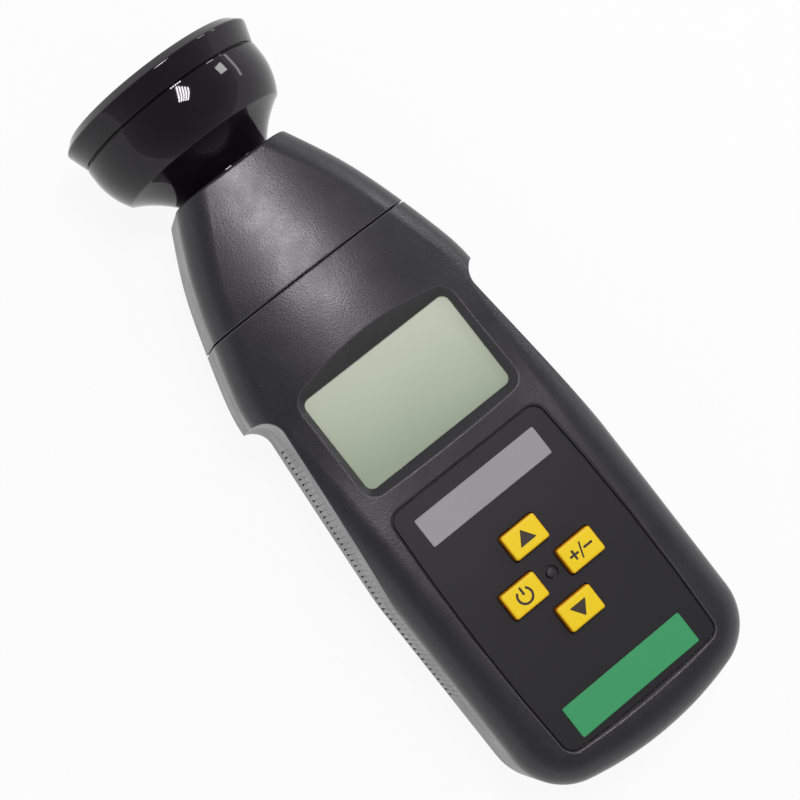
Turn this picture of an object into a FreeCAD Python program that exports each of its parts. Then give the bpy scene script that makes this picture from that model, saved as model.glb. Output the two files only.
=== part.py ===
"""Hand-held xenon stroboscope: tapered case, lamp head, display, keypad and battery bay.

Millimetres. X points right, Y towards the lamp, Z out of the front face.
The origin lies on the flat back face, at the middle of the grip.
"""
import FreeCAD
import Part
import Sketcher
import math
import os
from FreeCAD import Vector

# Driving sizes. "above" and "below" are distances along Y from the collar line.
SIZES = {
    # case outline, half widths seen from the front
    "collar": 72.0,
    "head_length": 31.8,
    "tail_length": 144.0,
    "head_top_half": 16.9,
    "head_mid_half": 23.95,
    "head_mid_above": 17.6,
    "collar_in": 5.2,
    "chest_in": 1.8,
    "chest_below": 11.5,
    "shoulder_half": 35.3,
    "shoulder_below": 24.0,
    "tail_in": 0.3,
    "tail_corner": 16.0,
    "tail_arc": 95.0,
    # case depth and rounding
    "chest_depth": 37.0,
    "grip_depth": 34.6,
    "tail_depth": 34.2,
    "crown_arc": 93.0,
    "grip_arc": 900.0,
    "front_round": 8.5,
    "back_round": 5.2,
    "end_round": 0.8,
    "wall": 2.2,
    "split": 17.0,
    "seam": 0.1,
    "lip_height": 1.5,
    "lip_wall": 0.95,
    "collar_gap": 0.5,
    "tongue_wall": 1.6,
    "tongue_above": 9.0,
    "tongue_below": 4.0,
    "fit": 0.15,
    # finger notches and moulded grip ribs
    "notch_top_below": 21.6,
    "notch_in": 5.0,
    "notch_floor_below": 27.6,
    "notch_end_below": 80.0,
    "notch_mid_in": 2.5,
    "notch_mid_below": 54.0,
    "notch_corner": 4.9,
    "rib_pitch": 1.62,
    "rib_depth": 0.45,
    "rib_first_below": 31.0,
    "rib_last_below": 107.0,
    "rib_low": 7.0,
    "rib_high": 25.8,
    # display
    "display_width": 45.3,
    "display_height": 27.4,
    "display_below": 38.05,
    "display_corner": 2.2,
    "display_level": 31.6,
    "display_lip": 0.5,
    "bevel_reach": 9.0,
    "display_sill": 2.0,
    "sill_margin": 4.0,
    "window_margin": 1.5,
    "window_thick": 1.2,
    "glass_margin": 2.2,
    "glass_thick": 2.6,
    "frame_wall": 1.4,
    "strip_width": 2.0,
    # control panel and labels
    "panel_top_below": 59.6,
    "panel_length": 73.4,
    "panel_top_half": 23.4,
    "panel_mid_half": 24.9,
    "panel_end_half": 24.1,
    "panel_sag": 0.9,
    "panel_corner": 3.2,
    "panel_level": 33.6,
    "panel_thick": 1.0,
    "panel_gap": 0.35,
    "rim_above": 0.05,
    "rim_slope": 0.6,
    "panel_floor": 2.0,
    "label_width": 37.8,
    "label_thick": 0.15,
    "label_corner": 0.45,
    "upper_label_height": 8.1,
    "upper_label_below": 67.8,
    "lower_label_height": 8.8,
    "lower_label_below": 126.6,
    # keys
    "keypad_below": 94.7,
    "key_step_across": 9.03,
    "key_step_along": 11.07,
    "key_width": 10.5,
    "key_height": 7.3,
    "key_corner": 0.7,
    "key_edge": 0.45,
    "key_rise": 2.3,
    "key_travel": 0.9,
    "key_gap": 0.3,
    "key_flange": 0.9,
    "key_flange_thick": 0.8,
    "key_stem_radius": 2.4,
    "key_stem_length": 0.5,
    "stud_radius": 1.5,
    "stud_hole_radius": 1.9,
    "stud_sink": 0.3,
    # tact switches
    "switch_side": 6.0,
    "switch_height": 3.4,
    "switch_floor": 0.6,
    "plunger_radius": 1.7,
    "plunger_fit": 0.1,
    # main board and its parts
    "board_top": 24.6,
    "board_thick": 1.6,
    "board_half_width": 25.0,
    "board_top_below": 17.5,
    "board_length": 113.0,
    "chip_width": 12.0,
    "chip_thick": 1.6,
    "chip_below": 64.0,
    "crystal_length": 9.0,
    "crystal_radius": 1.6,
    "stand_radius": 2.4,
    # battery bay
    "cell_radius": 7.15,
    "cell_length": 48.6,
    "cell_tip_radius": 2.7,
    "cell_tip_length": 1.0,
    "cell_gap": 0.3,
    "cell_low": 3.0,
    "bay_half_width": 29.4,
    "bay_top_below": 71.0,
    "bay_length": 55.0,
    "tray_wall": 1.2,
    "tray_side_low": 2.5,
    "tray_end_low": 5.2,
    "spring_radius": 3.4,
    "spring_tip_radius": 1.6,
    "contact_thick": 0.4,
    "contact_width": 9.0,
    # battery door
    "door_thick": 1.6,
    "door_gap": 0.25,
    "door_lap": 0.9,
    "door_below": 70.0,
    "door_length": 58.8,
    "door_tab_width": 8.0,
    "door_tab_offset": 11.0,
    "door_tab_reach": 2.4,
    "door_tab_thick": 1.4,
    "door_tab_low": 2.6,
    "door_grip_width": 16.0,
    "groove_first": 4.0,
    "groove_pitch": 1.8,
    "groove_half": 0.45,
    "groove_depth": 0.6,
    # lamp head, radii about the lamp axis
    "lamp_level": 18.0,
    "neck_radius": 13.3,
    "neck_bore": 10.8,
    "neck_fit": 0.12,
    "neck_inside": 11.0,
    "neck_above": 32.4,
    "crease_radius": 23.2,
    "crease_above": 40.75,
    "bell_radius": 26.35,
    "bell_full_above": 50.8,
    "bell_front_above": 54.0,
    "neck_arc": 30.0,
    "bell_arc": 18.3,
    "bell_wall": 1.8,
    "thread_radius": 24.6,
    "thread_bore": 22.6,
    "thread_above": 57.5,
    "thread_fit": 0.1,
    "ring_back_above": 54.75,
    "ring_back_radius": 26.2,
    "ring_max_radius": 27.9,
    "ring_max_above": 59.8,
    "ring_front_above": 62.5,
    "ring_front_radius": 25.5,
    "ring_step_above": 60.3,
    "ring_opening": 21.6,
    "gasket_thick": 0.6,
    "lens_thick": 2.4,
    "nut_radius": 14.9,
    "nut_play": 0.3,
    "nut_length": 5.0,
    # reflector and flash tube
    "reflector_radius": 21.8,
    "reflector_throat": 8.5,
    "reflector_length": 16.5,
    "reflector_arc": 26.0,
    "reflector_wall": 0.8,
    "tube_radius": 2.2,
    "tube_wall": 0.7,
    "tube_bend": 4.4,
    "tube_leg": 9.5,
    "electrode_radius": 1.2,
    "electrode_length": 5.0,
    "base_radius": 10.4,
    "base_above": 31.0,
    "base_flange_radius": 12.0,
    "base_flange_above": 35.2,
    "base_flange_thick": 1.5,
    # power board and its parts
    "power_level": 6.0,
    "power_half_width": 21.0,
    "power_top_above": 0.0,
    "power_gap": 1.2,
    "capacitor_radius": 7.4,
    "capacitor_length": 34.0,
    "capacitor_below": 28.0,
    "core_width": 20.0,
    "core_length": 18.0,
    "core_height": 8.0,
    "core_leg": 4.0,
    "core_below": 49.0,
    "core_lift": 2.4,
    "winding_gap": 0.2,
    "trigger_radius": 4.6,
    "trigger_length": 13.0,
    "trigger_below": 12.0,
    "transistor_below": 66.0,
    "transistor_width": 10.0,
    "transistor_thick": 4.5,
    "transistor_height": 12.0,
    "lead_radius": 0.9,
    "lead_bend": 5.0,
    "lead_offset": 5.2,
    "lead_below": 5.0,
    # screws
    "screw_radius": 1.4,
    "screw_head_radius": 2.6,
    "screw_head_thick": 1.8,
    "screw_fit": 0.06,
    "screw_sink": 1.2,
    "boss_radius": 3.2,
    "case_screw_length": 18.0,
    "top_screw_across": 25.3,
    "top_screw_below": 12.5,
    "tail_screw_across": 19.5,
    "tail_screw_below": 135.2,
    "head_screw_across": 18.0,
    "head_screw_above": 4.6,
    "head_screw_length": 7.0,
    "board_screw_length": 4.5,
}

doc = FreeCAD.newDocument("Stroboscope")
sheet = doc.addObject("Spreadsheet::Sheet", "Sizes")
for row, (alias, amount) in enumerate(SIZES.items(), 1):
    sheet.set(f"A{row}", alias)
    sheet.set(f"B{row}", str(amount))
    sheet.setAlias(f"B{row}", alias)
doc.recompute()


class Size:
    """A length that remembers its formula over the cells of the sheet."""

    def __init__(self, value, formula):
        self.value = value
        self.formula = formula

    def __float__(self):
        return self.value

    def __add__(self, other):
        return Size(float(self) + float(other), f"({text(self)} + {text(other)})")

    def __radd__(self, other):
        return Size(float(other) + float(self), f"({text(other)} + {text(self)})")

    def __sub__(self, other):
        return Size(float(self) - float(other), f"({text(self)} - {text(other)})")

    def __rsub__(self, other):
        return Size(float(other) - float(self), f"({text(other)} - {text(self)})")

    def __mul__(self, factor):
        return Size(float(self) * float(factor), f"({text(self)} * {text(factor)})")

    __rmul__ = __mul__

    def __truediv__(self, factor):
        return Size(float(self) / float(factor), f"({text(self)} / {text(factor)})")

    def __neg__(self):
        return Size(-float(self), f"(0 - {text(self)})")


def text(amount):
    """The formula of a size, or a plain number written out."""
    return amount.formula if isinstance(amount, Size) else repr(float(amount))


class Cells:
    """Each cell of the sheet as a Size, by its alias."""

    def __getattr__(self, alias):
        return Size(float(sheet.get(alias)), f"Sizes.{alias}")


d = Cells()
nodes = []


def keep(thing, name):
    """Name a finished piece and put it on the list of nodes."""
    thing.Label = name
    nodes.append(thing)
    return thing


def bind(thing, field, amount):
    """Tie a property to the sheet, or set it where it is a plain number."""
    thing.setExpression(field, text(amount))


def place(thing, x, y, z):
    """Tie a piece's position to the sheet."""
    for axis, amount in zip("xyz", (x, y, z)):
        bind(thing, f"Placement.Base.{axis}", amount)
    return thing


# Simple solids, booleans and groups

def block(name, low, high):
    """A box from its low corner to its high corner."""
    box = doc.addObject("Part::Box", name)
    for field, start, stop in zip(("Length", "Width", "Height"), low, high):
        bind(box, field, stop - start)
    return place(box, *low)


TURNS = {
    "X": FreeCAD.Rotation(Vector(0, 1, 0), 90),
    "Y": FreeCAD.Rotation(Vector(1, 0, 0), -90),
    "Z": FreeCAD.Rotation(),
}


def rod(name, radius, length, start, axis="Z"):
    """A cylinder from its start point along an axis."""
    cylinder = doc.addObject("Part::Cylinder", name)
    bind(cylinder, "Radius", radius)
    bind(cylinder, "Height", length)
    cylinder.Placement = FreeCAD.Placement(Vector(), TURNS[axis])
    return place(cylinder, *start)


def taper(name, first, second, length, start, axis="Z"):
    """A cone from its start point along an axis."""
    cone = doc.addObject("Part::Cone", name)
    bind(cone, "Radius1", first)
    bind(cone, "Radius2", second)
    bind(cone, "Height", length)
    cone.Placement = FreeCAD.Placement(Vector(), TURNS[axis])
    return place(cone, *start)


def fuse(name, *pieces):
    """One solid from several that touch."""
    joined = doc.addObject("Part::MultiFuse", name)
    joined.Shapes = list(pieces)
    joined.Refine = True
    return joined


def cut(name, base, *tools):
    """A solid with one or more tools taken out of it."""
    result = doc.addObject("Part::Cut", name)
    result.Base = base
    result.Tool = tools[0] if len(tools) == 1 else fuse(name + "_tools", *tools)
    result.Refine = True
    return result


def group(name, pieces):
    """Separate solids that share one node."""
    together = doc.addObject("Part::Compound", name)
    together.Links = list(pieces)
    return together


# Sketched bodies

def origin_plane(body, role):
    """The body's own origin plane of that role."""
    return next(part for part in body.Origin.OriginFeatures if part.Role == role)


def arc_through(start, stop, radius):
    """The arc between two points, its centre left of the way for a positive radius."""
    middle = (start + stop) * 0.5
    half = (stop - start) * 0.5
    left = Vector(-half.y, half.x, 0).normalize()
    reach = math.sqrt(max(radius * radius - half.Length ** 2, 0.0))
    centre = middle + left * math.copysign(reach, radius)
    ends = (start, stop) if radius > 0 else (stop, start)
    first, last = (math.atan2(end.y - centre.y, end.x - centre.x) for end in ends)
    if last < first:
        last += 2 * math.pi
    return Part.ArcOfCircle(Part.Circle(centre, Vector(0, 0, 1), abs(radius)), first, last)


def draw(body, path, role="XY_Plane", height=None):
    """A closed sketch through (x, y) or (x, y, radius of the arc that arrives) corners."""
    sketch = body.newObject("Sketcher::SketchObject", body.Name + "_sketch")
    sketch.AttachmentSupport = [(origin_plane(body, role), "")]
    sketch.MapMode = "FlatFace"
    if height is not None:
        bind(sketch, "AttachmentOffset.Base.z", height)
    points = [Vector(float(corner[0]), float(corner[1]), 0) for corner in path]
    ends = []
    radii = []
    for index, corner in enumerate(path):
        start, stop = points[index - 1], points[index]
        if len(corner) == 3:
            radius = float(corner[2])
            geometry = sketch.addGeometry(arc_through(start, stop, radius), False)
            ends.append((geometry, 1, 2) if radius > 0 else (geometry, 2, 1))
            radii.append((geometry, corner[2] if radius > 0 else -corner[2]))
        else:
            geometry = sketch.addGeometry(Part.LineSegment(start, stop), False)
            ends.append((geometry, 1, 2))
    for index, corner in enumerate(path):
        geometry, _, last = ends[index]
        following, first, _ = ends[(index + 1) % len(path)]
        sketch.addConstraint(Sketcher.Constraint("Coincident", geometry, last, following, first))
        for kind, amount, axis in (("DistanceX", corner[0], -2), ("DistanceY", corner[1], -1)):
            if float(amount) == 0:
                sketch.addConstraint(Sketcher.Constraint("PointOnObject", geometry, last, axis))
            else:
                number = sketch.addConstraint(
                    Sketcher.Constraint(kind, -1, 1, geometry, last, float(amount)))
                bind(sketch, f"Constraints[{number}]", amount)
    for geometry, radius in radii:
        number = sketch.addConstraint(Sketcher.Constraint("Radius", geometry, float(radius)))
        bind(sketch, f"Constraints[{number}]", radius)
    return sketch


def new_body(name, z=0.0):
    """An empty body at a level above the back face."""
    body = doc.addObject("PartDesign::Body", name)
    bind(body, "Placement.Base.z", z)
    return body


def turned(name, path):
    """A piece turned about the lamp axis from its (radius, y) half section."""
    body = new_body(name, d.lamp_level)
    sketch = draw(body, path)
    turn = body.newObject("PartDesign::Revolution", name + "_turn")
    turn.Profile = sketch
    turn.ReferenceAxis = (sketch, ["V_Axis"])
    turn.Angle = 360
    return body


def padded(name, path, bottom, thickness):
    """A sketched outline given a thickness, up from a level."""
    body = new_body(name, bottom)
    pad = body.newObject("PartDesign::Pad", name + "_pad")
    pad.Profile = draw(body, path)
    bind(pad, "Length", thickness)
    doc.recompute()
    return body


def upright_edges(shape):
    """Names of the straight edges that stand along Z."""
    found = []
    for number, edge in enumerate(shape.Edges, 1):
        ends = [vertex.Point for vertex in edge.Vertexes]
        if len(ends) == 2 and (ends[1] - ends[0]).cross(Vector(0, 0, 1)).Length < 1e-6:
            found.append(f"Edge{number}")
    return found


def top_edges(shape):
    """Names of the edges that lie in the highest plane."""
    top = shape.BoundBox.ZMax
    return [f"Edge{number}" for number, edge in enumerate(shape.Edges, 1)
            if edge.BoundBox.ZMin > top - 1e-6]


def soften(body, edges, radius):
    """Round some edges of the body's last feature."""
    base = body.Tip
    rounding = body.newObject("PartDesign::Fillet", body.Name + "_round")
    rounding.Base = (base, edges)
    bind(rounding, "Radius", radius)
    doc.recompute()


def rectangle(half_x, half_y, x=0.0, y=0.0):
    """The corners of a rectangle about a centre."""
    return [(x - half_x, y - half_y), (x + half_x, y - half_y),
            (x + half_x, y + half_y), (x - half_x, y + half_y)]


def plate(name, width, height, thickness, corner, y, bottom, x=0.0, edge=None):
    """A rounded rectangular plate, its upper edges rounded where asked."""
    body = padded(name, rectangle(width / 2, height / 2, x, y), bottom, thickness)
    soften(body, upright_edges(body.Tip.Shape), corner)
    if edge is not None:
        soften(body, top_edges(body.Tip.Shape), edge)
    return body


# Case: one crowned hull, made at several insets so that walls and cavities agree

TALL = d.chest_depth + d.front_round
CROWN_STEPS = 3
SIDE_STEPS = 8
BOW_STEPS = 4
GROOVES = 5


def inner_side(spline, inset, end):
    """Points along a side spline moved in by an inset, from where they pass the end line."""

    def moved(parameter):
        way = spline.tangent(parameter)[0].normalize()
        return spline.value(parameter) + Vector(way.y, -way.x, 0) * inset

    low, high = spline.FirstParameter, spline.LastParameter
    near, far = low, (low + high) / 2
    while far - near > 1e-9:
        middle = (near + far) / 2
        if moved(middle).y > end:
            near = middle
        else:
            far = middle
    return [moved(near + (high - near) * step / SIDE_STEPS) for step in range(SIDE_STEPS + 1)]


def case_outline(inset):
    """The case seen from the front: spline sides, round tail corners, curved tail."""
    collar = float(d.collar)
    end = collar + float(d.head_length)
    side = [Vector(float(d.head_top_half), end, 0),
            Vector(float(d.head_mid_half), collar + float(d.head_mid_above), 0),
            Vector(float(d.shoulder_half - d.collar_in), collar, 0),
            Vector(float(d.shoulder_half - d.chest_in), collar - float(d.chest_below), 0),
            Vector(float(d.shoulder_half), collar - float(d.shoulder_below), 0)]
    bottom = collar - float(d.tail_length)
    radius = float(d.tail_corner)
    arc = float(d.tail_arc)
    way = (Vector(float(d.shoulder_half - d.tail_in), bottom + radius, 0) - side[-1]).normalize()
    inward = Vector(way.y, -way.x, 0)
    tail_centre = Vector(0, bottom + arc, 0)
    # corner centre: its radius inside the side line and inside the tail arc
    foot = side[-1] + inward * radius
    offset = foot - tail_centre
    along = -offset.dot(way) + math.sqrt(
        offset.dot(way) ** 2 - offset.dot(offset) + (arc - radius) ** 2)
    corner = foot + way * along
    to_tail = (corner - tail_centre).normalize()
    shoulder = side[-1] + inward * inset
    side_end = corner - inward * (radius - inset)
    tail_end = tail_centre + to_tail * (arc - inset)
    belly = corner + (to_tail - inward).normalize() * (radius - inset)
    spline = Part.BSplineCurve()
    spline.interpolate(Points=side, Tangents=[Vector(0.52, -1, 0)] + [Vector(0, 0, 0)] * 3 + [way],
                       TangentFlags=[True, False, False, False, True])
    if inset:
        points = inner_side(spline, inset, end - inset)
        points[0].y = end - inset
        spline = Part.BSplineCurve()
        spline.interpolate(Points=points)
    top = spline.value(spline.FirstParameter)
    edges = [spline.toShape(), Part.LineSegment(shoulder, side_end).toShape(),
             Part.Arc(side_end, belly, tail_end).toShape()]
    flip = Part.Wire(edges).mirror(Vector(), Vector(1, 0, 0))
    cap = Part.LineSegment(Vector(-top.x, top.y, 0), top).toShape()
    tail = Part.Arc(tail_end, Vector(0, bottom + inset, 0), Vector(-tail_end.x, tail_end.y, 0)).toShape()
    return Part.Wire(Part.__sortEdges__(edges + flip.Edges + [cap, tail]))


def case_face(inset):
    """The case outline drawn in by an inset."""
    return Part.Face(case_outline(inset))


def crown(inset):
    """What lies in front of the crowned front face: an arc across, its top following the depths."""
    collar = float(d.collar)
    head_depth = d.lamp_level + d.nut_radius + d.nut_play + d.wall
    stations = [
        (collar + 1.1 * float(d.head_length), head_depth, d.crown_arc),
        (collar + float(d.head_length), head_depth, d.crown_arc),
        (collar, d.chest_depth, d.crown_arc),
        (collar - float(d.shoulder_below), d.chest_depth, d.crown_arc),
        (collar - float(d.panel_top_below), d.grip_depth, d.grip_arc),
        (collar - float(d.keypad_below), d.grip_depth, d.grip_arc),
        (collar - float(d.tail_length), d.tail_depth, d.grip_arc),
        (collar - 1.02 * float(d.tail_length), d.tail_depth, d.grip_arc),
    ]
    reach = float(d.shoulder_half) + 1.0
    rows = []
    for y, depth, arc in stations:
        radius = float(arc) - inset
        ridge = float(depth) - inset
        across = [reach * step / CROWN_STEPS for step in range(-CROWN_STEPS, CROWN_STEPS + 1)]
        rows.append([Vector(x, y, ridge - radius + math.sqrt(radius ** 2 - x ** 2)) for x in across])
    surface = Part.BSplineSurface()
    surface.interpolate(rows)
    return surface.toShape().extrude(Vector(0, 0, float(TALL)))


def notch_arc():
    """The long arc of a finger notch, from its floor to where it meets the side."""
    collar = float(d.collar)
    return Part.Arc(Vector(float(d.shoulder_half - d.notch_in), collar - float(d.notch_floor_below), 0),
                    Vector(float(d.shoulder_half - d.notch_mid_in), collar - float(d.notch_mid_below), 0),
                    Vector(float(d.shoulder_half), collar - float(d.notch_end_below), 0))


def mirrored(shape):
    """A shape and its image on the other side of the case."""
    return Part.makeCompound([shape, shape.mirror(Vector(), Vector(1, 0, 0))])


def notches(inset):
    """The two finger notches as upright solids, grown by the inset."""
    top = float(d.collar - d.notch_top_below)
    floor = float(d.collar - d.notch_floor_below)
    half = float(d.shoulder_half - d.notch_in)
    ease = 1 - math.sqrt(0.5)
    start = Vector(half + float(d.notch_corner), top, 0)
    bend = Vector(half + ease * float(d.notch_corner), top - ease * (top - floor), 0)
    side = notch_arc()
    outside = start.x + float(d.shoulder_half)
    edges = [Part.Arc(start, bend, side.StartPoint).toShape(), side.toShape()]
    edges += Part.makePolygon([side.EndPoint, Vector(outside, side.EndPoint.y, 0),
                               Vector(outside, top, 0), start]).Edges
    face = Part.Face(Part.Wire(edges))
    if inset:
        face = face.makeOffset2D(inset)
    face.translate(Vector(0, 0, -float(d.wall)))
    return mirrored(face.extrude(Vector(0, 0, 2 * float(TALL))))


def grip_ribs():
    """A comb for each side of the grip, which leaves the moulded ribs between its teeth."""
    circle = notch_arc().toShape().Curve
    centre, radius = circle.Center, circle.Radius
    low, high = float(d.rib_low), float(d.rib_high)
    depth, pitch = float(d.rib_depth), float(d.rib_pitch)
    count = int((float(d.rib_last_below) - float(d.rib_first_below)) / pitch)
    corners = []
    for number in range(count + 1):
        y = float(d.collar - d.rib_first_below) - number * pitch
        side = side_line(y)
        if y > float(d.collar - d.notch_end_below):
            side = min(side, centre.x + math.copysign(
                math.sqrt(radius ** 2 - (y - centre.y) ** 2), -centre.x))
        corners += [Vector(side + depth, y + pitch / 2, low), Vector(side - depth, y, low)]
    corners.append(Vector(side + depth, y - pitch / 2, low))
    outside = 2 * float(d.shoulder_half)
    corners += [Vector(outside, corners[-1].y, low), Vector(outside, corners[0].y, low)]
    face = Part.Face(Part.makePolygon(corners + corners[:1]))
    return mirrored(face.extrude(Vector(0, 0, high - low)))


def side_line(y):
    """Half width of the straight side below the shoulder at a station."""
    top = float(d.collar - d.shoulder_below)
    bottom = float(d.collar - d.tail_length + d.tail_corner)
    share = (top - y) / (top - bottom)
    return float(d.shoulder_half) + share * (float(-d.tail_in))


def hull(inset):
    """The solid case drawn in by an inset, its long edges rounded."""
    face = case_face(inset)
    face.translate(Vector(0, 0, inset))
    solid = face.extrude(Vector(0, 0, float(TALL))).cut(crown(inset)).Solids[0]
    end = float(d.collar + d.head_length) - inset

    def rim(shape, level):
        """The outline edges at the front or the back, without the head's end."""
        return [edge for edge in shape.Edges
                if abs(edge.BoundBox.YMin - end) > 0.01
                and (edge.BoundBox.ZMin > level if level > 5 else edge.BoundBox.ZMax < level)]

    solid = solid.makeFillet(float(d.front_round) - inset, rim(solid, float(d.split)))
    solid = solid.makeFillet(float(d.back_round) - inset, rim(solid, inset + 0.01))
    return solid.cut(notches(inset))


def slab(y_low, y_high, z_low, z_high):
    """A wide box between two stations and two levels."""
    half = 2 * float(d.shoulder_half)
    return Part.makeBox(2 * half, y_high - y_low, z_high - z_low, Vector(-half, y_low, z_low))


def feature(name, shape):
    """A free-form piece whose shape is worked out above."""
    thing = doc.addObject("Part::Feature", name)
    thing.Shape = shape
    return thing


def post(x, y, low, high, radius):
    """An upright cylinder between two levels."""
    return Part.makeCylinder(float(radius), float(high) - float(low),
                             Vector(float(x), float(y), float(low)))


def rounded_face(width, height, corner, y, z):
    """A rounded rectangle about x = 0 as a face."""
    half_x, half_y, corner = float(width) / 2, float(height) / 2, float(corner)
    corners = [Vector(x, float(y) + step, float(z)) for x, step in rectangle(half_x, half_y)]
    block_face = Part.Face(Part.makePolygon(corners + corners[:1]))
    upright = block_face.extrude(Vector(0, 0, 1))
    edges = [edge for edge in upright.Edges if abs(edge.tangentAt(edge.FirstParameter).z) > 0.9]
    softened = upright.makeFillet(corner, edges)
    return next(face for face in softened.Faces if face.normalAt(0, 0).z < -0.9)


def screw_places():
    """Centres of the case screws, seen from the front."""
    top = (d.top_screw_across, d.collar - d.top_screw_below)
    tail = (d.tail_screw_across, d.collar - d.tail_screw_below)
    return [top, (-top[0], top[1]), tail, (-tail[0], tail[1])]


def head_screw_places():
    """Centres of the screws that hold the head cap to the back shell's tongue."""
    y = d.collar + d.head_screw_above
    return [(d.head_screw_across, y), (-d.head_screw_across, y)]


def main_board_screw_places():
    """Centres of the screws that hold the main board to the front shell."""
    x = d.board_half_width - d.boss_radius
    high = d.collar - d.panel_top_below - d.boss_radius
    low = d.collar - d.board_top_below - d.board_length + d.boss_radius + d.screw_radius
    return [(x, high), (-x, high), (x, low), (-x, low)]


def power_board_screw_places():
    """Centres of the screws that hold the power board to the back shell."""
    x = d.power_half_width - d.boss_radius
    high = d.collar + d.power_top_above - d.boss_radius
    low = d.collar - d.bay_top_below + d.power_gap + d.boss_radius
    return [(x, low), (-x, low), (x, high), (-x, high)]


def key_places():
    """Names and centres of the four keys."""
    y = d.collar - d.keypad_below
    return {"up_key": (0.0, y + d.key_step_along), "down_key": (0.0, y - d.key_step_along),
            "power_key": (-d.key_step_across, y), "fine_adjust_key": (d.key_step_across, y)}


def bowed(start, middle, stop):
    """Corners along a shallow arc through three points, without the last one."""
    arc = Part.Arc(start, middle, stop).toShape()
    return arc.discretize(BOW_STEPS + 1)[:-1]


def panel_face(grow, z):
    """The control panel's outline as a face, grown all round."""
    top = float(d.collar - d.panel_top_below)
    bottom = top - float(d.panel_length)
    high, mid, low = (float(size) for size in (d.panel_top_half, d.panel_mid_half, d.panel_end_half))
    corner = bottom + float(d.panel_sag)
    belt = (top + bottom) / 2
    corners = bowed(Vector(high, top, 0), Vector(mid, belt, 0), Vector(low, corner, 0))
    corners += bowed(Vector(low, corner, 0), Vector(0, bottom, 0), Vector(-low, corner, 0))
    corners += bowed(Vector(-low, corner, 0), Vector(-mid, belt, 0), Vector(-high, top, 0))
    corners.append(Vector(-high, top, 0))
    face = Part.Face(Part.makePolygon(corners + corners[:1]))
    upright = face.extrude(Vector(0, 0, 1))
    ends = ((high, top), (low, corner))
    edges = [edge for edge in upright.Edges
             if abs(edge.tangentAt(edge.FirstParameter).z) > 0.9
             and any(abs(abs(edge.BoundBox.Center.x) - x) + abs(edge.BoundBox.Center.y - y) < 0.01
                     for x, y in ends)]
    softened = upright.makeFillet(float(d.panel_corner), edges)
    flat = next(face for face in softened.Faces if face.normalAt(0, 0).z < -0.9)
    if grow:
        flat = flat.makeOffset2D(grow)
    flat.translate(Vector(0, 0, z))
    return flat


def key_windows(low):
    """Upright tools that open the key windows from a level up, their corners round as the keys'."""
    gap = float(d.key_gap)
    tools = []
    for x, y in key_places().values():
        face = rounded_face(float(d.key_width) + 2 * gap, float(d.key_height) + 2 * gap,
                            float(d.key_corner) + gap, y, low)
        face.translate(Vector(float(x), 0, 0))
        tools.append(face.extrude(Vector(0, 0, float(TALL))))
    return tools


def recess_rim():
    """A tool that slopes the rim of the panel's recess outwards just above the panel."""
    low = float(d.panel_level + d.rim_above)
    face = panel_face(float(d.panel_gap + d.rim_slope), low)
    tool = face.extrude(Vector(0, 0, float(TALL)))
    sill = [edge for edge in tool.Edges if edge.BoundBox.ZMax < low + float(d.rim_above)]
    return tool.makeChamfer(float(d.rim_slope), sill)


# Case mouldings: front shell, back shell and head cap

OUTER = hull(0.0)
CAVITY = hull(float(d.wall))
TONGUE_OUTER = hull(float(d.wall + d.fit))
TONGUE_INNER = hull(float(d.wall + d.fit + d.tongue_wall))
FAR = 3 * float(d.tail_length)
COLLAR_LOW = float(d.collar - d.collar_gap / 2)
COLLAR_HIGH = float(d.collar + d.collar_gap / 2)
SPLIT_LOW = float(d.split - d.seam / 2)
SPLIT_HIGH = float(d.split + d.seam / 2)
CASE_TOP = float(TALL)


def shell_half(z_low, z_high, pads):
    """One case half between two levels: its wall, the solid pads inside it and its tongue."""
    step = float(d.collar - d.tongue_below)
    room = CAVITY.common(slab(-FAR, step, z_low, z_high)).cut(Part.makeCompound(pads))
    neck = TONGUE_INNER.common(slab(step, FAR, z_low, z_high))
    walls = OUTER.common(slab(-FAR, COLLAR_LOW, z_low, z_high)).cut([room, neck])
    nose = TONGUE_OUTER.common(slab(COLLAR_LOW, float(d.collar + d.tongue_above), z_low, z_high))
    return walls.fuse(nose.cut(neck))


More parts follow.
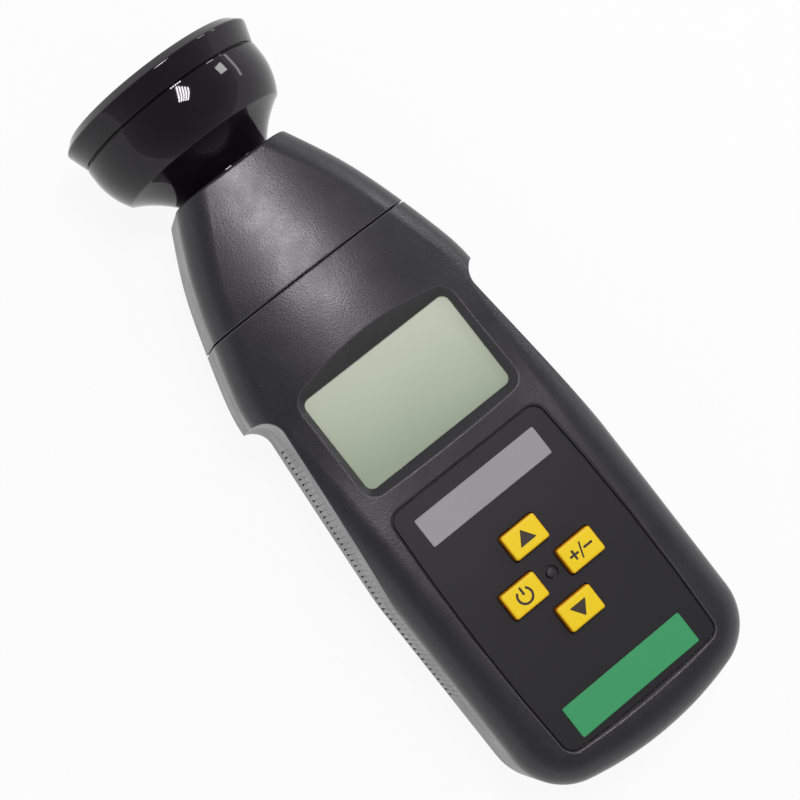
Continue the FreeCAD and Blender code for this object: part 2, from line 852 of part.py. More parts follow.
def front_shell():
    """Front half: display window, panel recess, key windows, bosses and grip ribs."""
    y = float(d.collar - d.display_below)
    level = float(d.display_level)
    margin = 2 * float(d.sill_margin)
    sill = rounded_face(float(d.display_width) + margin, float(d.display_height) + margin,
                        d.display_corner, y, level - float(d.display_sill))
    floor_level = float(d.panel_level - d.panel_thick - d.panel_floor)
    floor = panel_face(float(d.wall), floor_level)
    pads = [face.extrude(Vector(0, 0, CASE_TOP)) for face in (sill, floor)]
    pads += [post(x, place_y, 0, CASE_TOP, d.boss_radius) for x, place_y in screw_places()]
    pads += [post(x, place_y, d.board_top, CASE_TOP, d.boss_radius)
             for x, place_y in main_board_screw_places()]
    shell = shell_half(SPLIT_HIGH, CASE_TOP, pads)
    recess = panel_face(float(d.panel_gap), float(d.panel_level - d.panel_thick))
    opening = rounded_face(d.display_width, d.display_height, d.display_corner, y, 0.0)
    lip = level + float(d.display_lip)
    reach = float(d.bevel_reach)
    wide = rounded_face(float(d.display_width) + 2 * reach, float(d.display_height) + 2 * reach,
                        float(d.display_corner) + reach, y, lip + reach)
    narrow = rounded_face(d.display_width, d.display_height, d.display_corner, y, lip)
    room = 2 * float(d.window_margin + d.fit)
    seat = rounded_face(float(d.display_width) + room, float(d.display_height) + room,
                        d.display_corner, y, SPLIT_LOW)
    holes = [recess.extrude(Vector(0, 0, CASE_TOP)),
             opening.extrude(Vector(0, 0, CASE_TOP)),
             Part.makeLoft([narrow.OuterWire, wide.OuterWire], True, True),
             seat.extrude(Vector(0, 0, level - SPLIT_LOW))]
    holes += key_windows(level / 2) + [recess_rim()]
    play = float(d.key_gap)
    case_depth = float(d.screw_sink + d.screw_head_thick + d.case_screw_length) + play
    board_depth = float(d.board_top - d.board_thick + d.board_screw_length) + play
    for places, depth in ((screw_places(), case_depth), (main_board_screw_places(), board_depth)):
        holes += [post(x, place_y, 0, depth, d.screw_radius + d.screw_fit) for x, place_y in places]
    holes.append(lip_ring(d.lip_wall + d.fit, d.lip_height + d.fit))
    return shell.cut(holes).cut(grip_ribs())


def lip_ring(thickness, height):
    """The ring that the locating lip fills above the split, or the room left for it."""
    inset = float(d.wall - thickness)
    face = case_face(inset)
    face.translate(Vector(0, 0, SPLIT_LOW - float(d.seam)))
    ring = face.extrude(Vector(0, 0, float(height + d.seam))).cut(notches(inset))
    inner = case_face(float(d.wall))
    inner.translate(Vector(0, 0, 0))
    core = inner.extrude(Vector(0, 0, CASE_TOP)).cut(notches(float(d.wall)))
    step = float(d.collar - d.tongue_below - d.fit)
    bosses = [post(x, y, 0, CASE_TOP, d.boss_radius + d.fit) for x, y in screw_places()]
    return ring.common(slab(-FAR, step, 0, CASE_TOP)).cut([core] + bosses)


def back_shell():
    """Back half: battery opening with its rebate, locating lip, bosses and screw wells."""
    wall = float(d.wall)
    pads = [post(x, y, 0, SPLIT_LOW, d.boss_radius) for x, y in screw_places()]
    pads += [post(x, y, 0, d.power_level, d.stand_radius) for x, y in power_board_screw_places()]
    shell = shell_half(-1.0, SPLIT_LOW, pads)
    ears = [post(x, y, wall + float(d.fit), d.head_screw_length, d.stand_radius)
            for x, y in head_screw_places()]
    shell = shell.fuse(ears + [lip_ring(d.lip_wall, d.lip_height)])
    low = float(d.collar - d.door_below - d.door_length)
    high = float(d.collar - d.door_below)
    lap = float(d.door_lap)
    half = float(d.bay_half_width - d.cell_gap) + lap
    holes = [Part.makeBox(2 * half, high - low, 1 + float(d.door_thick), Vector(-half, low, -1)),
             Part.makeBox(2 * (half - lap), high - low - 2 * lap, 2 * wall,
                          Vector(lap - half, low + lap, -wall / 2))]
    for x, y in screw_places():
        holes.append(post(x, y, -1, d.screw_sink + d.screw_head_thick, d.screw_head_radius + d.fit))
        holes.append(post(x, y, -1, CASE_TOP, d.screw_radius + d.screw_fit))
    for x, y in power_board_screw_places() + head_screw_places():
        holes.append(post(x, y, wall + float(d.fit) / 2, CASE_TOP, d.screw_radius + d.screw_fit))
    return shell.cut(holes).cut(grip_ribs())


def head_cap():
    """Tapered cap over the lamp neck, closed at the lamp end except for the neck hole."""
    above = slab(COLLAR_HIGH, FAR, -1, CASE_TOP)
    cap = OUTER.common(above)
    end = float(d.collar + d.head_length)
    rim = [edge for edge in cap.Edges
           if edge.BoundBox.YMin > end - 0.01 and edge.BoundBox.YMax < end + 0.01]
    cap = cap.makeFillet(float(d.end_round), rim).cut(CAVITY)
    neck = Part.makeCylinder(float(d.neck_radius + d.neck_fit), 3 * float(d.wall),
                             Vector(0, end - 2 * float(d.wall), float(d.lamp_level)), Vector(0, 1, 0))
    holes = [neck]
    for x, y in head_screw_places():
        holes.append(post(x, y, -1, CASE_TOP / 4, d.screw_radius + d.screw_fit))
        holes.append(Part.makeCone(float(d.screw_head_radius + d.fit), float(d.screw_radius),
                                   float(d.screw_head_thick), Vector(float(x), float(y), 0)))
    return cap.cut(holes)


keep(feature("front_shell", front_shell()), "front_shell")
keep(feature("back_shell", back_shell()), "back_shell")
keep(feature("head_cap", head_cap()), "head_cap")

# Control panel with its windows, and the two bare label plates

PANEL_BOTTOM = d.panel_level - d.panel_thick


def control_panel():
    """The recessed keypad overlay, pierced for the keys and the centre stud."""
    plate_shape = panel_face(0.0, float(PANEL_BOTTOM)).extrude(Vector(0, 0, float(d.panel_thick)))
    holes = key_windows(0.0)
    holes.append(post(0.0, d.collar - d.keypad_below, 0, CASE_TOP, d.stud_hole_radius))
    return plate_shape.cut(holes)


keep(feature("control_panel", control_panel()), "control_panel")
keep(plate("upper_label", d.label_width, d.upper_label_height, d.label_thick, d.label_corner,
           d.collar - d.upper_label_below, d.panel_level), "upper_label")
keep(plate("lower_label", d.label_width, d.lower_label_height, d.label_thick, d.label_corner,
           d.collar - d.lower_label_below, d.panel_level), "lower_label")
keep(rod("centre_stud", d.stud_radius, d.panel_thick - d.stud_sink,
         (0.0, d.collar - d.keypad_below, PANEL_BOTTOM)), "centre_stud")

# Display stack

DISPLAY_Y = d.collar - d.display_below
WINDOW_BOTTOM = d.display_level - d.window_thick
GLASS_BOTTOM = WINDOW_BOTTOM - d.glass_thick
FRAME_TOP = d.display_level - d.display_sill - d.fit
GLASS_WIDTH = d.display_width + d.glass_margin
GLASS_HEIGHT = d.display_height + d.glass_margin

keep(plate("display_window", d.display_width + 2 * d.window_margin,
           d.display_height + 2 * d.window_margin, d.window_thick, d.display_corner,
           DISPLAY_Y, WINDOW_BOTTOM), "display_window")
keep(plate("display_glass", GLASS_WIDTH, GLASS_HEIGHT, d.glass_thick, d.display_corner / 2,
           DISPLAY_Y, GLASS_BOTTOM), "display_glass")


def display_frame():
    """The holder round the display glass, standing on the main board."""
    half_x = GLASS_WIDTH / 2 + d.fit
    half_y = GLASS_HEIGHT / 2 + d.fit
    outside = block("frame_outside", (-half_x - d.frame_wall, DISPLAY_Y - half_y - d.frame_wall, d.board_top),
                    (half_x + d.frame_wall, DISPLAY_Y + half_y + d.frame_wall, FRAME_TOP))
    inside = block("frame_inside", (-half_x, DISPLAY_Y - half_y, d.board_top - d.fit),
                   (half_x, DISPLAY_Y + half_y, WINDOW_BOTTOM))
    return cut("display_frame", outside, inside)


keep(display_frame(), "display_frame")


def contact_strips():
    """Rubber contact strips between the board and the glass, along both long edges."""
    strips = []
    half_x = GLASS_WIDTH / 2 - d.frame_wall
    for number, side in enumerate((1, -1)):
        near = DISPLAY_Y + side * (GLASS_HEIGHT / 2 - d.strip_width)
        far = DISPLAY_Y + side * (GLASS_HEIGHT / 2)
        low, high = (near, far) if side > 0 else (far, near)
        strips.append(block(f"strip_{number}", (-half_x, low, d.board_top), (half_x, high, GLASS_BOTTOM)))
    return group("contact_strips", strips)


keep(contact_strips(), "contact_strips")

# Main board

BOARD_BOTTOM = d.board_top - d.board_thick
BOARD_HIGH = d.collar - d.board_top_below
BOARD_LOW = BOARD_HIGH - d.board_length


def drilled_board(name, low, high, places):
    """A circuit board with clearance holes for its screws."""
    board = block(name + "_blank", low, high)
    drills = [rod(f"{name}_drill_{number}", d.screw_radius + d.fit, (high[2] - low[2]) * 3,
                  (x, y, low[2] - (high[2] - low[2])))
              for number, (x, y) in enumerate(places)]
    return cut(name, board, *drills)


keep(drilled_board("main_board", (-d.board_half_width, BOARD_LOW, BOARD_BOTTOM),
                   (d.board_half_width, BOARD_HIGH, d.board_top), main_board_screw_places()),
     "main_board")
CHIP_Y = d.collar - d.chip_below
keep(block("control_chip", (-d.chip_width / 2, CHIP_Y - d.chip_width, BOARD_BOTTOM - d.chip_thick),
           (d.chip_width / 2, CHIP_Y, BOARD_BOTTOM)), "control_chip")
keep(rod("timing_crystal", d.crystal_radius, d.crystal_length,
         (d.chip_width / 2 + 3 * d.crystal_radius, CHIP_Y - d.crystal_length,
          BOARD_BOTTOM - d.crystal_radius), "Y"), "timing_crystal")

# Keys, their plungers and the switch housings

FLANGE_TOP = PANEL_BOTTOM - d.panel_floor - d.seam
FLANGE_BOTTOM = FLANGE_TOP - d.key_flange_thick
KEY_BOTTOM = FLANGE_BOTTOM - d.key_stem_length
SWITCH_TOP = d.board_top + d.switch_height
housings = []
for key, (x, y) in key_places().items():
    half_x = d.key_width / 2 + d.key_flange
    half_y = d.key_height / 2 + d.key_flange
    cap_height = d.panel_level + d.key_rise - FLANGE_TOP
    cap_body = new_body(key + "_cap", FLANGE_TOP)
    pad = cap_body.newObject("PartDesign::Pad", key + "_pad")
    pad.Profile = draw(cap_body, rectangle(d.key_width / 2, d.key_height / 2, x, y))
    bind(pad, "Length", cap_height)
    doc.recompute()
    soften(cap_body, upright_edges(cap_body.Tip.Shape), d.key_corner)
    soften(cap_body, top_edges(cap_body.Tip.Shape), d.key_edge)
    flange = block(key + "_flange", (x - half_x, y - half_y, FLANGE_BOTTOM),
                   (x + half_x, y + half_y, FLANGE_TOP))
    stem = rod(key + "_stem", d.key_stem_radius, d.key_stem_length, (x, y, KEY_BOTTOM))
    keep(fuse(key, cap_body, flange, stem), key)
    plunger_low = d.board_top + d.switch_floor + d.key_travel + d.fit
    keep(rod(key + "_plunger", d.plunger_radius, KEY_BOTTOM - plunger_low, (x, y, plunger_low)),
         key + "_plunger")
    half = d.switch_side / 2
    case = block(key + "_switch_case", (x - half, y - half, d.board_top), (x + half, y + half, SWITCH_TOP))
    well = rod(key + "_switch_well", d.plunger_radius + d.plunger_fit, d.switch_height,
               (x, y, d.board_top + d.switch_floor))
    housings.append(cut(key + "_switch", case, well))
keep(group("switch_housings", housings), "switch_housings")

# Battery bay: tray, cells, springs, contact plates and door

BAY_HIGH = d.collar - d.bay_top_below
BAY_LOW = BAY_HIGH - d.bay_length
CELL_LEVEL = d.cell_low + d.cell_radius
CEILING = CELL_LEVEL + d.cell_radius + d.cell_gap
CELL_STEP = 2 * d.cell_radius + d.cell_gap
CELL_COLUMNS = [factor * CELL_STEP for factor in (-1.5, -0.5, 0.5, 1.5)]


def battery_tray():
    """An open-backed tray: ceiling, two side walls and two end walls."""
    outer_half = d.bay_half_width + d.tray_wall
    walls = [
        block("tray_ceiling", (-outer_half, BAY_LOW, CEILING), (outer_half, BAY_HIGH, CEILING + d.tray_wall)),
        block("tray_left", (-outer_half, BAY_LOW, d.tray_side_low), (-d.bay_half_width, BAY_HIGH, CEILING)),
        block("tray_right", (d.bay_half_width, BAY_LOW, d.tray_side_low), (outer_half, BAY_HIGH, CEILING)),
        block("tray_low_end", (-d.bay_half_width, BAY_LOW, d.tray_end_low),
              (d.bay_half_width, BAY_LOW + d.tray_wall, CEILING)),
        block("tray_high_end", (-d.bay_half_width, BAY_HIGH - d.tray_wall, d.tray_end_low),
              (d.bay_half_width, BAY_HIGH, CEILING)),
    ]
    return fuse("battery_tray", *walls)


keep(battery_tray(), "battery_tray")
PLUS_FACE = BAY_HIGH - d.tray_wall - d.contact_thick
MINUS_FACE = BAY_LOW + d.tray_wall + d.contact_thick
CELL_TIP = PLUS_FACE
CELL_TOP = CELL_TIP - d.cell_tip_length
CELL_BASE = CELL_TOP - d.cell_length
cells = []
springs = []
contacts = []
for number, x in enumerate(CELL_COLUMNS):
    can = rod(f"cell_can_{number}", d.cell_radius, d.cell_length, (x, CELL_BASE, CELL_LEVEL), "Y")
    tip = rod(f"cell_tip_{number}", d.cell_tip_radius, d.cell_tip_length, (x, CELL_TOP, CELL_LEVEL), "Y")
    cells.append(fuse(f"cell_{number}", can, tip))
    springs.append(taper(f"spring_{number}", d.spring_radius, d.spring_tip_radius,
                         CELL_BASE - MINUS_FACE, (x, MINUS_FACE, CELL_LEVEL), "Y"))
    half = d.contact_width / 2
    for end, face in (("plus", PLUS_FACE), ("minus", MINUS_FACE - d.contact_thick)):
        contacts.append(block(f"contact_{end}_{number}", (x - half, face, CELL_LEVEL - half),
                              (x + half, face + d.contact_thick, CELL_LEVEL + half)))
keep(group("battery_cells", cells), "battery_cells")
keep(group("battery_springs", springs), "battery_springs")
keep(group("battery_contacts", contacts), "battery_contacts")

DOOR_LOW = d.collar - d.door_below - d.door_length + d.door_gap
DOOR_HIGH = d.collar - d.door_below - d.door_gap
DOOR_HALF = d.bay_half_width - d.cell_gap + d.door_lap - d.door_gap


def battery_door():
    """A flush door with two hinge tabs at its low end and a grooved thumb patch."""
    leaf = block("door_leaf", (-DOOR_HALF, DOOR_LOW, 0.0), (DOOR_HALF, DOOR_HIGH, d.door_thick))
    pieces = [leaf]
    foot_near = DOOR_LOW + d.door_lap + d.door_gap / 2
    for number, side in enumerate((1, -1)):
        x_low = side * d.door_tab_offset - d.door_tab_width / 2
        x_high = x_low + d.door_tab_width
        pieces.append(block(f"tab_foot_{number}", (x_low, foot_near, d.door_thick),
                            (x_high, foot_near + d.door_tab_thick, d.door_tab_low)))
        pieces.append(block(f"tab_{number}", (x_low, DOOR_LOW - d.door_tab_reach, d.door_tab_low),
                            (x_high, foot_near + d.door_tab_thick, d.door_tab_low + d.door_tab_thick)))
    grooves = []
    for number in range(GROOVES):
        y = DOOR_HIGH - d.groove_first - number * d.groove_pitch
        grooves.append(block(f"thumb_groove_{number}",
                             (-d.door_grip_width / 2, y - d.groove_half, -d.groove_depth),
                             (d.door_grip_width / 2, y + d.groove_half, d.groove_depth)))
    return cut("battery_door", fuse("door_blank", *pieces), *grooves)


keep(battery_door(), "battery_door")

# Lamp head: bell housing, neck nut, bezel ring, lens, gasket, reflector, tube and base


def up(above):
    """A station along the lamp axis, measured from the collar line."""
    return d.collar + above


NECK_END = d.head_length - d.neck_inside
BELL_STEP = d.thread_above - d.bell_wall
lamp_housing = turned("lamp_housing", [
    (d.neck_bore, up(NECK_END)),
    (d.neck_radius, up(NECK_END)),
    (d.neck_radius, up(d.neck_above)),
    (d.crease_radius, up(d.crease_above), -d.neck_arc),
    (d.bell_radius, up(d.bell_full_above), d.bell_arc),
    (d.bell_radius, up(d.bell_front_above)),
    (d.thread_radius, up(d.bell_front_above)),
    (d.thread_radius, up(d.thread_above)),
    (d.thread_bore, up(d.thread_above)),
    (d.thread_bore, up(d.bell_front_above - d.bell_wall)),
    (d.crease_radius - d.bell_wall, up(d.crease_above + d.bell_wall / 2)),
    (d.neck_bore, up(d.neck_above + d.bell_wall)),
])
keep(lamp_housing, "lamp_housing")
NUT_TOP = d.head_length - d.wall - d.seam
keep(turned("neck_nut", [
    (d.neck_radius + d.neck_fit, up(NUT_TOP - d.nut_length)),
    (d.nut_radius, up(NUT_TOP - d.nut_length)),
    (d.nut_radius, up(NUT_TOP)),
    (d.neck_radius + d.neck_fit, up(NUT_TOP)),
]), "neck_nut")
GASKET_TOP = d.thread_above + d.gasket_thick
LENS_TOP = GASKET_TOP + d.lens_thick
RING_BORE = d.thread_radius + d.thread_fit
keep(turned("lens_gasket", [
    (d.thread_bore, up(d.thread_above)),
    (d.thread_radius - d.seam, up(d.thread_above)),
    (d.thread_radius - d.seam, up(GASKET_TOP)),
    (d.thread_bore, up(GASKET_TOP)),
]), "lens_gasket")
keep(turned("lens", [
    (0.0, up(GASKET_TOP)),
    (d.thread_radius - d.seam, up(GASKET_TOP)),
    (d.thread_radius - d.seam, up(LENS_TOP)),
    (0.0, up(LENS_TOP)),
]), "lens")
keep(turned("bezel_ring", [
    (RING_BORE, up(d.ring_back_above)),
    (d.ring_back_radius, up(d.ring_back_above)),
    (d.ring_max_radius, up(d.ring_max_above)),
    (d.ring_max_radius, up(d.ring_step_above)),
    (d.ring_front_radius, up(d.ring_front_above)),
    (d.ring_opening, up(d.ring_front_above)),
    (d.ring_opening, up(LENS_TOP)),
    (RING_BORE, up(LENS_TOP)),
]), "bezel_ring")
REFLECTOR_BACK = d.thread_above - d.reflector_length
keep(turned("reflector", [
    (d.reflector_throat, up(REFLECTOR_BACK)),
    (d.reflector_radius, up(d.thread_above - d.seam), d.reflector_arc),
    (d.thread_bore - d.seam, up(d.thread_above - d.seam)),
    (d.thread_bore - d.seam, up(d.thread_above - d.seam - d.reflector_wall)),
    (d.reflector_radius + d.reflector_wall / 4, up(d.thread_above - d.seam - d.reflector_wall)),
    (d.reflector_throat, up(REFLECTOR_BACK - d.reflector_wall), -d.reflector_arc),
]), "reflector")
BASE_TOP = REFLECTOR_BACK - d.reflector_wall
keep(turned("lamp_base", [
    (0.0, up(d.base_above)),
    (d.base_radius, up(d.base_above)),
    (d.base_radius, up(d.base_flange_above)),
    (d.base_flange_radius, up(d.base_flange_above)),
    (d.base_flange_radius, up(d.base_flange_above + d.base_flange_thick)),
    (d.base_radius, up(d.base_flange_above + d.base_flange_thick)),
    (d.base_radius, up(BASE_TOP)),
    (0.0, up(BASE_TOP)),
]), "lamp_base")


def bent_rod(name, radius, bend, sweep, centre, rotation):
    """A piece of a ring: rod radius, bend radius, swept angle and centre."""
    ring = doc.addObject("Part::Torus", name)
    bind(ring, "Radius1", bend)
    bind(ring, "Radius2", radius)
    ring.Angle3 = sweep
    ring.Placement = FreeCAD.Placement(Vector(), rotation)
    return place(ring, *centre)


def tube_core(name, radius):
    """The U of the flash tube at one radius, legs towards the base."""
    pieces = [rod(f"{name}_leg_{number}", radius, d.tube_leg, (x, up(BASE_TOP), d.lamp_level), "Y")
              for number, x in enumerate((-d.tube_bend, 1 * d.tube_bend))]
    pieces.append(bent_rod(name + "_bend", radius, d.tube_bend, 180,
                           (0.0, up(BASE_TOP + d.tube_leg), d.lamp_level), FreeCAD.Rotation()))
    return fuse(name, *pieces)


keep(cut("flash_tube", tube_core("tube_outside", d.tube_radius),
         tube_core("tube_bore", d.tube_radius - d.tube_wall)), "flash_tube")
keep(group("tube_electrodes", [
    rod(f"electrode_{number}", d.electrode_radius, d.electrode_length,
        (x, up(BASE_TOP), d.lamp_level), "Y")
    for number, x in enumerate((-d.tube_bend, 1 * d.tube_bend))]), "tube_electrodes")

# Power board with the flash circuit, and the leads to the lamp base

POWER_HIGH = d.collar + d.power_top_above
POWER_LOW = d.collar - d.bay_top_below + d.power_gap
POWER_TOP = d.power_level + d.board_thick
keep(drilled_board("power_board", (-d.power_half_width, POWER_LOW, d.power_level),
                   (d.power_half_width, POWER_HIGH, POWER_TOP), power_board_screw_places()),
     "power_board")
keep(rod("flash_capacitor", d.capacitor_radius, d.capacitor_length,
         (-d.capacitor_length / 2, d.collar - d.capacitor_below, POWER_TOP + d.capacitor_radius), "X"),
     "flash_capacitor")
CORE_Y = d.collar - d.core_below
CORE_LOW = POWER_TOP + d.core_lift
CORE_HIGH = CORE_LOW + d.core_height
HALF_CORE = d.core_length / 2
HALF_LEG = d.core_leg / 2
WINDOW_HALF = d.core_width / 2 - d.core_leg
core_blank = block("core_blank", (-d.core_width / 2, CORE_Y - HALF_CORE, CORE_LOW),
                   (d.core_width / 2, CORE_Y + HALF_CORE, CORE_HIGH))
core_windows = [
    block("core_window_low", (-WINDOW_HALF, CORE_Y - HALF_CORE + d.core_leg, POWER_TOP),
          (WINDOW_HALF, CORE_Y - HALF_LEG, CORE_HIGH + d.core_lift)),
    block("core_window_high", (-WINDOW_HALF, CORE_Y + HALF_LEG, POWER_TOP),
          (WINDOW_HALF, CORE_Y + HALF_CORE - d.core_leg, CORE_HIGH + d.core_lift)),
]
keep(cut("inverter_core", core_blank, *core_windows), "inverter_core")
WINDING_HALF_X = WINDOW_HALF - d.winding_gap
WINDING_HALF_Y = HALF_CORE - d.core_leg - d.winding_gap
winding_blank = block("winding_blank", (-WINDING_HALF_X, CORE_Y - WINDING_HALF_Y, POWER_TOP),
                      (WINDING_HALF_X, CORE_Y + WINDING_HALF_Y, CORE_HIGH + d.core_lift))
winding_bore = block("winding_bore",
                     (-WINDOW_HALF, CORE_Y - HALF_LEG - d.winding_gap, CORE_LOW - d.winding_gap),
                     (WINDOW_HALF, CORE_Y + HALF_LEG + d.winding_gap, CORE_HIGH + d.winding_gap))
keep(cut("inverter_winding", winding_blank, winding_bore), "inverter_winding")
TRIGGER_Y = d.collar - d.trigger_below
TRIGGER_LEVEL = POWER_TOP + d.trigger_radius
keep(rod("trigger_coil", d.trigger_radius, d.trigger_length,
         (-d.trigger_length / 2, TRIGGER_Y, TRIGGER_LEVEL), "X"), "trigger_coil")
TRANSISTOR_Y = d.collar - d.transistor_below
keep(block("power_transistor",
           (-d.transistor_width / 2, TRANSISTOR_Y - d.transistor_thick / 2, POWER_TOP),
           (d.transistor_width / 2, TRANSISTOR_Y + d.transistor_thick / 2,
            POWER_TOP + d.transistor_height)), "power_transistor")


def lamp_leads():
    """Two bent leads from the power board to the base and the straight trigger lead."""
    landing = d.collar - d.lead_below
    bend_y = landing + d.lead_bend
    bend_z = d.lamp_level - d.lead_bend
    quarter = FreeCAD.Rotation(Vector(0, 0, 1), Vector(0, -1, 0), Vector(1, 0, 0), "XYZ")
    leads = []
    for number, x in enumerate((-d.lead_offset, 1 * d.lead_offset)):
        leads.append(fuse(
            f"lead_{number}",
            rod(f"lead_riser_{number}", d.lead_radius, bend_z - POWER_TOP, (x, landing, POWER_TOP)),
            bent_rod(f"lead_bend_{number}", d.lead_radius, d.lead_bend, 90, (x, bend_y, bend_z), quarter),
            rod(f"lead_run_{number}", d.lead_radius, up(d.base_above) - bend_y,
                (x, bend_y, d.lamp_level), "Y")))
    start = TRIGGER_Y + d.trigger_radius
    leads.append(rod("trigger_lead", d.lead_radius, up(d.base_above) - start,
                     (0.0, start, TRIGGER_LEVEL), "Y"))
    return group("lamp_leads", leads)


keep(lamp_leads(), "lamp_leads")

# Screws


def screws(name, places, seat, length, side):
    """Cheese-head screws at some places, heads below the seat for side 1 and above it for -1."""
    made = []
    for number, (x, y) in enumerate(places):
        if side > 0:
            head_low, shank_low = seat - d.screw_head_thick, seat
        else:
            head_low, shank_low = seat, seat - length
        head = rod(f"{name}_head_{number}", d.screw_head_radius, d.screw_head_thick, (x, y, head_low))
        shank = rod(f"{name}_shank_{number}", d.screw_radius, length, (x, y, shank_low))
        made.append(fuse(f"{name}_{number}", head, shank))
    return group(name, made)


def head_cap_screws():
    """Countersunk screws that hold the head cap to the tongue."""
    made = []
    for number, (x, y) in enumerate(head_screw_places()):
        head = taper(f"cap_screw_head_{number}", d.screw_head_radius, d.screw_radius,
                     d.screw_head_thick, (x, y, 0.0))
        shank = rod(f"cap_screw_shank_{number}", d.screw_radius, d.head_screw_length - d.key_gap, (x, y, 0.0))
        made.append(fuse(f"cap_screw_{number}", head, shank))
    return group("head_cap_screws", made)


keep(screws("case_screws", screw_places(), d.screw_sink + d.screw_head_thick,
            d.case_screw_length, 1), "case_screws")
keep(head_cap_screws(), "head_cap_screws")
keep(screws("main_board_screws", main_board_screw_places(), BOARD_BOTTOM, d.board_screw_length, 1),
     "main_board_screws")
keep(screws("power_board_screws", power_board_screw_places(), POWER_TOP, d.board_screw_length, -1),
     "power_board_screws")

# Checks and export

doc.recompute()
for thing in doc.Objects:
    if {"Invalid", "Error"} & set(thing.State):
        raise RuntimeError(f"{thing.Name} did not compute: {thing.State}")
os.makedirs("parts", exist_ok=True)
for thing in nodes:
    if thing.Shape.isNull() or not thing.Shape.isValid():
        raise RuntimeError(f"{thing.Label} has no valid shape")
    thing.Shape.exportStep(f"parts/{thing.Label}.step")
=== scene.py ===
# %% [markdown]
# # A hand-held xenon stroboscope
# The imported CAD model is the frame: every piece below is placed from it, in metres. Most of the
# instrument keeps its CAD solids and gets a finish. The glossy pieces of the lamp head, the stud
# between the keys and the marks on them are made here, as surfaces worked out with numpy.

# %% Load the frame
import math

import bpy
import numpy as np
from mathutils import Matrix, Vector


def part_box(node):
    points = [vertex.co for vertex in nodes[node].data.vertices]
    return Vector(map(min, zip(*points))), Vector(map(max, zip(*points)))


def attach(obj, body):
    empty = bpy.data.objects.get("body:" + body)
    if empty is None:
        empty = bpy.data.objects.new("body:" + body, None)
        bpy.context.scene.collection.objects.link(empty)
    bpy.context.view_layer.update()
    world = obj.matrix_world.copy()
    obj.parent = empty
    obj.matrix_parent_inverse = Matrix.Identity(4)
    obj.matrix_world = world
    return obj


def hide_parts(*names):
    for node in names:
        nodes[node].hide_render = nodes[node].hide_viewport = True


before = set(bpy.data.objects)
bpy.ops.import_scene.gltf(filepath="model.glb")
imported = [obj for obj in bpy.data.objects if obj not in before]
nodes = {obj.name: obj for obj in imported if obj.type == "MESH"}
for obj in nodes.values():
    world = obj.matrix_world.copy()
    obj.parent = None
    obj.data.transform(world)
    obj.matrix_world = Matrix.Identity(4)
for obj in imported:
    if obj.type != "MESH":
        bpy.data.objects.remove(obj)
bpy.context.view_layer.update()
MM = 0.001

# %% [markdown]
# ## Camera
# The picture looks down on the front face and a little from its left, and it is turned so that
# the lamp points to the upper left. A perspective view is three things: where the eye is, how it
# is turned and how long the lens is. They were fitted to the corners of the panel, the keys and
# the display.

# %% The eye and its lens
PICTURE_SIDE = 800
FOCAL_PIXELS = 2152.7
SENSOR = 36.0
EYE = (-100.717, 44.649, 550.695)
EYE_TURN = (5.7106, -9.1385, -38.694)

NEAREST = 0.01
eye = bpy.data.objects.new("camera", bpy.data.cameras.new("camera"))
eye.data.sensor_width = SENSOR
eye.data.lens = FOCAL_PIXELS / PICTURE_SIDE * SENSOR
eye.data.clip_start = NEAREST
eye.location = [MM * part for part in EYE]
eye.rotation_euler = [math.radians(angle) for angle in EYE_TURN]
bpy.context.scene.collection.objects.link(eye)
bpy.context.scene.camera = eye
bpy.context.scene.view_settings.view_transform = "Standard"
print(f"lens {eye.data.lens:.1f} mm")

# %% [markdown]
# ## Colour and nodes
# Colours are written as a designer reads them, in sRGB hex, and Blender's shaders work in linear
# light, so one function turns one into the other. A second small function adds any shader node
# with its settings, its fixed socket values and its links.

# %% Colour and node helpers
def linear(code):
    """An sRGB hex colour in linear light: each channel follows the sRGB curve."""
    s = np.array([int(code[i:i + 2], 16) for i in (1, 3, 5)]) / 255
    channels = np.where(s <= 0.04045, s / 12.92, ((s + 0.055) / 1.055) ** 2.4)
    return (*channels.tolist(), 1.0)


def add(tree, kind, settings=None, values=None, links=None):
    """Add a node: settings are its properties, values its sockets, links its incoming wires."""
    made = tree.nodes.new(kind)
    for name, setting in (settings or {}).items():
        setattr(made, name, setting)
    for socket, value in (values or {}).items():
        made.inputs[socket].default_value = value
    for socket, source in (links or {}).items():
        tree.links.new(source, made.inputs[socket])
    return made


def new_material(name):
    """A material with an empty node tree and an output, and the Object coordinates."""
    made = bpy.data.materials.new(name)
    made.use_nodes = True
    tree = made.node_tree
    tree.nodes.clear()
    where = add(tree, "ShaderNodeTexCoord").outputs["Object"]
    return made, tree, where


def finish_with(tree, shader):
    """Wire a shader to the material's output."""
    add(tree, "ShaderNodeOutputMaterial", links={"Surface": shader.outputs[0]})


MIX_FACTOR, MIX_A, MIX_B, MIX_RESULT = 0, 6, 7, 2


def blend(tree, factor, a, b):
    """A colour between a and b. Each is a hex code or a colour socket, factor is a socket."""
    values = {i: linear(c) for i, c in ((MIX_A, a), (MIX_B, b)) if isinstance(c, str)}
    links = {i: c for i, c in ((MIX_A, a), (MIX_B, b)) if not isinstance(c, str)}
    links[MIX_FACTOR] = factor
    made = add(tree, "ShaderNodeMix", {"data_type": "RGBA"}, values, links)
    return made.outputs[MIX_RESULT]


def between(tree, source, low, high, to_low=0.0, to_high=1.0):
    """A value mapped from one range to another and held at its ends."""
    limits = {"From Min": low, "From Max": high, "To Min": to_low, "To Max": to_high}
    made = add(tree, "ShaderNodeMapRange", {"clamp": True}, limits, {"Value": source})
    return made.outputs["Result"]


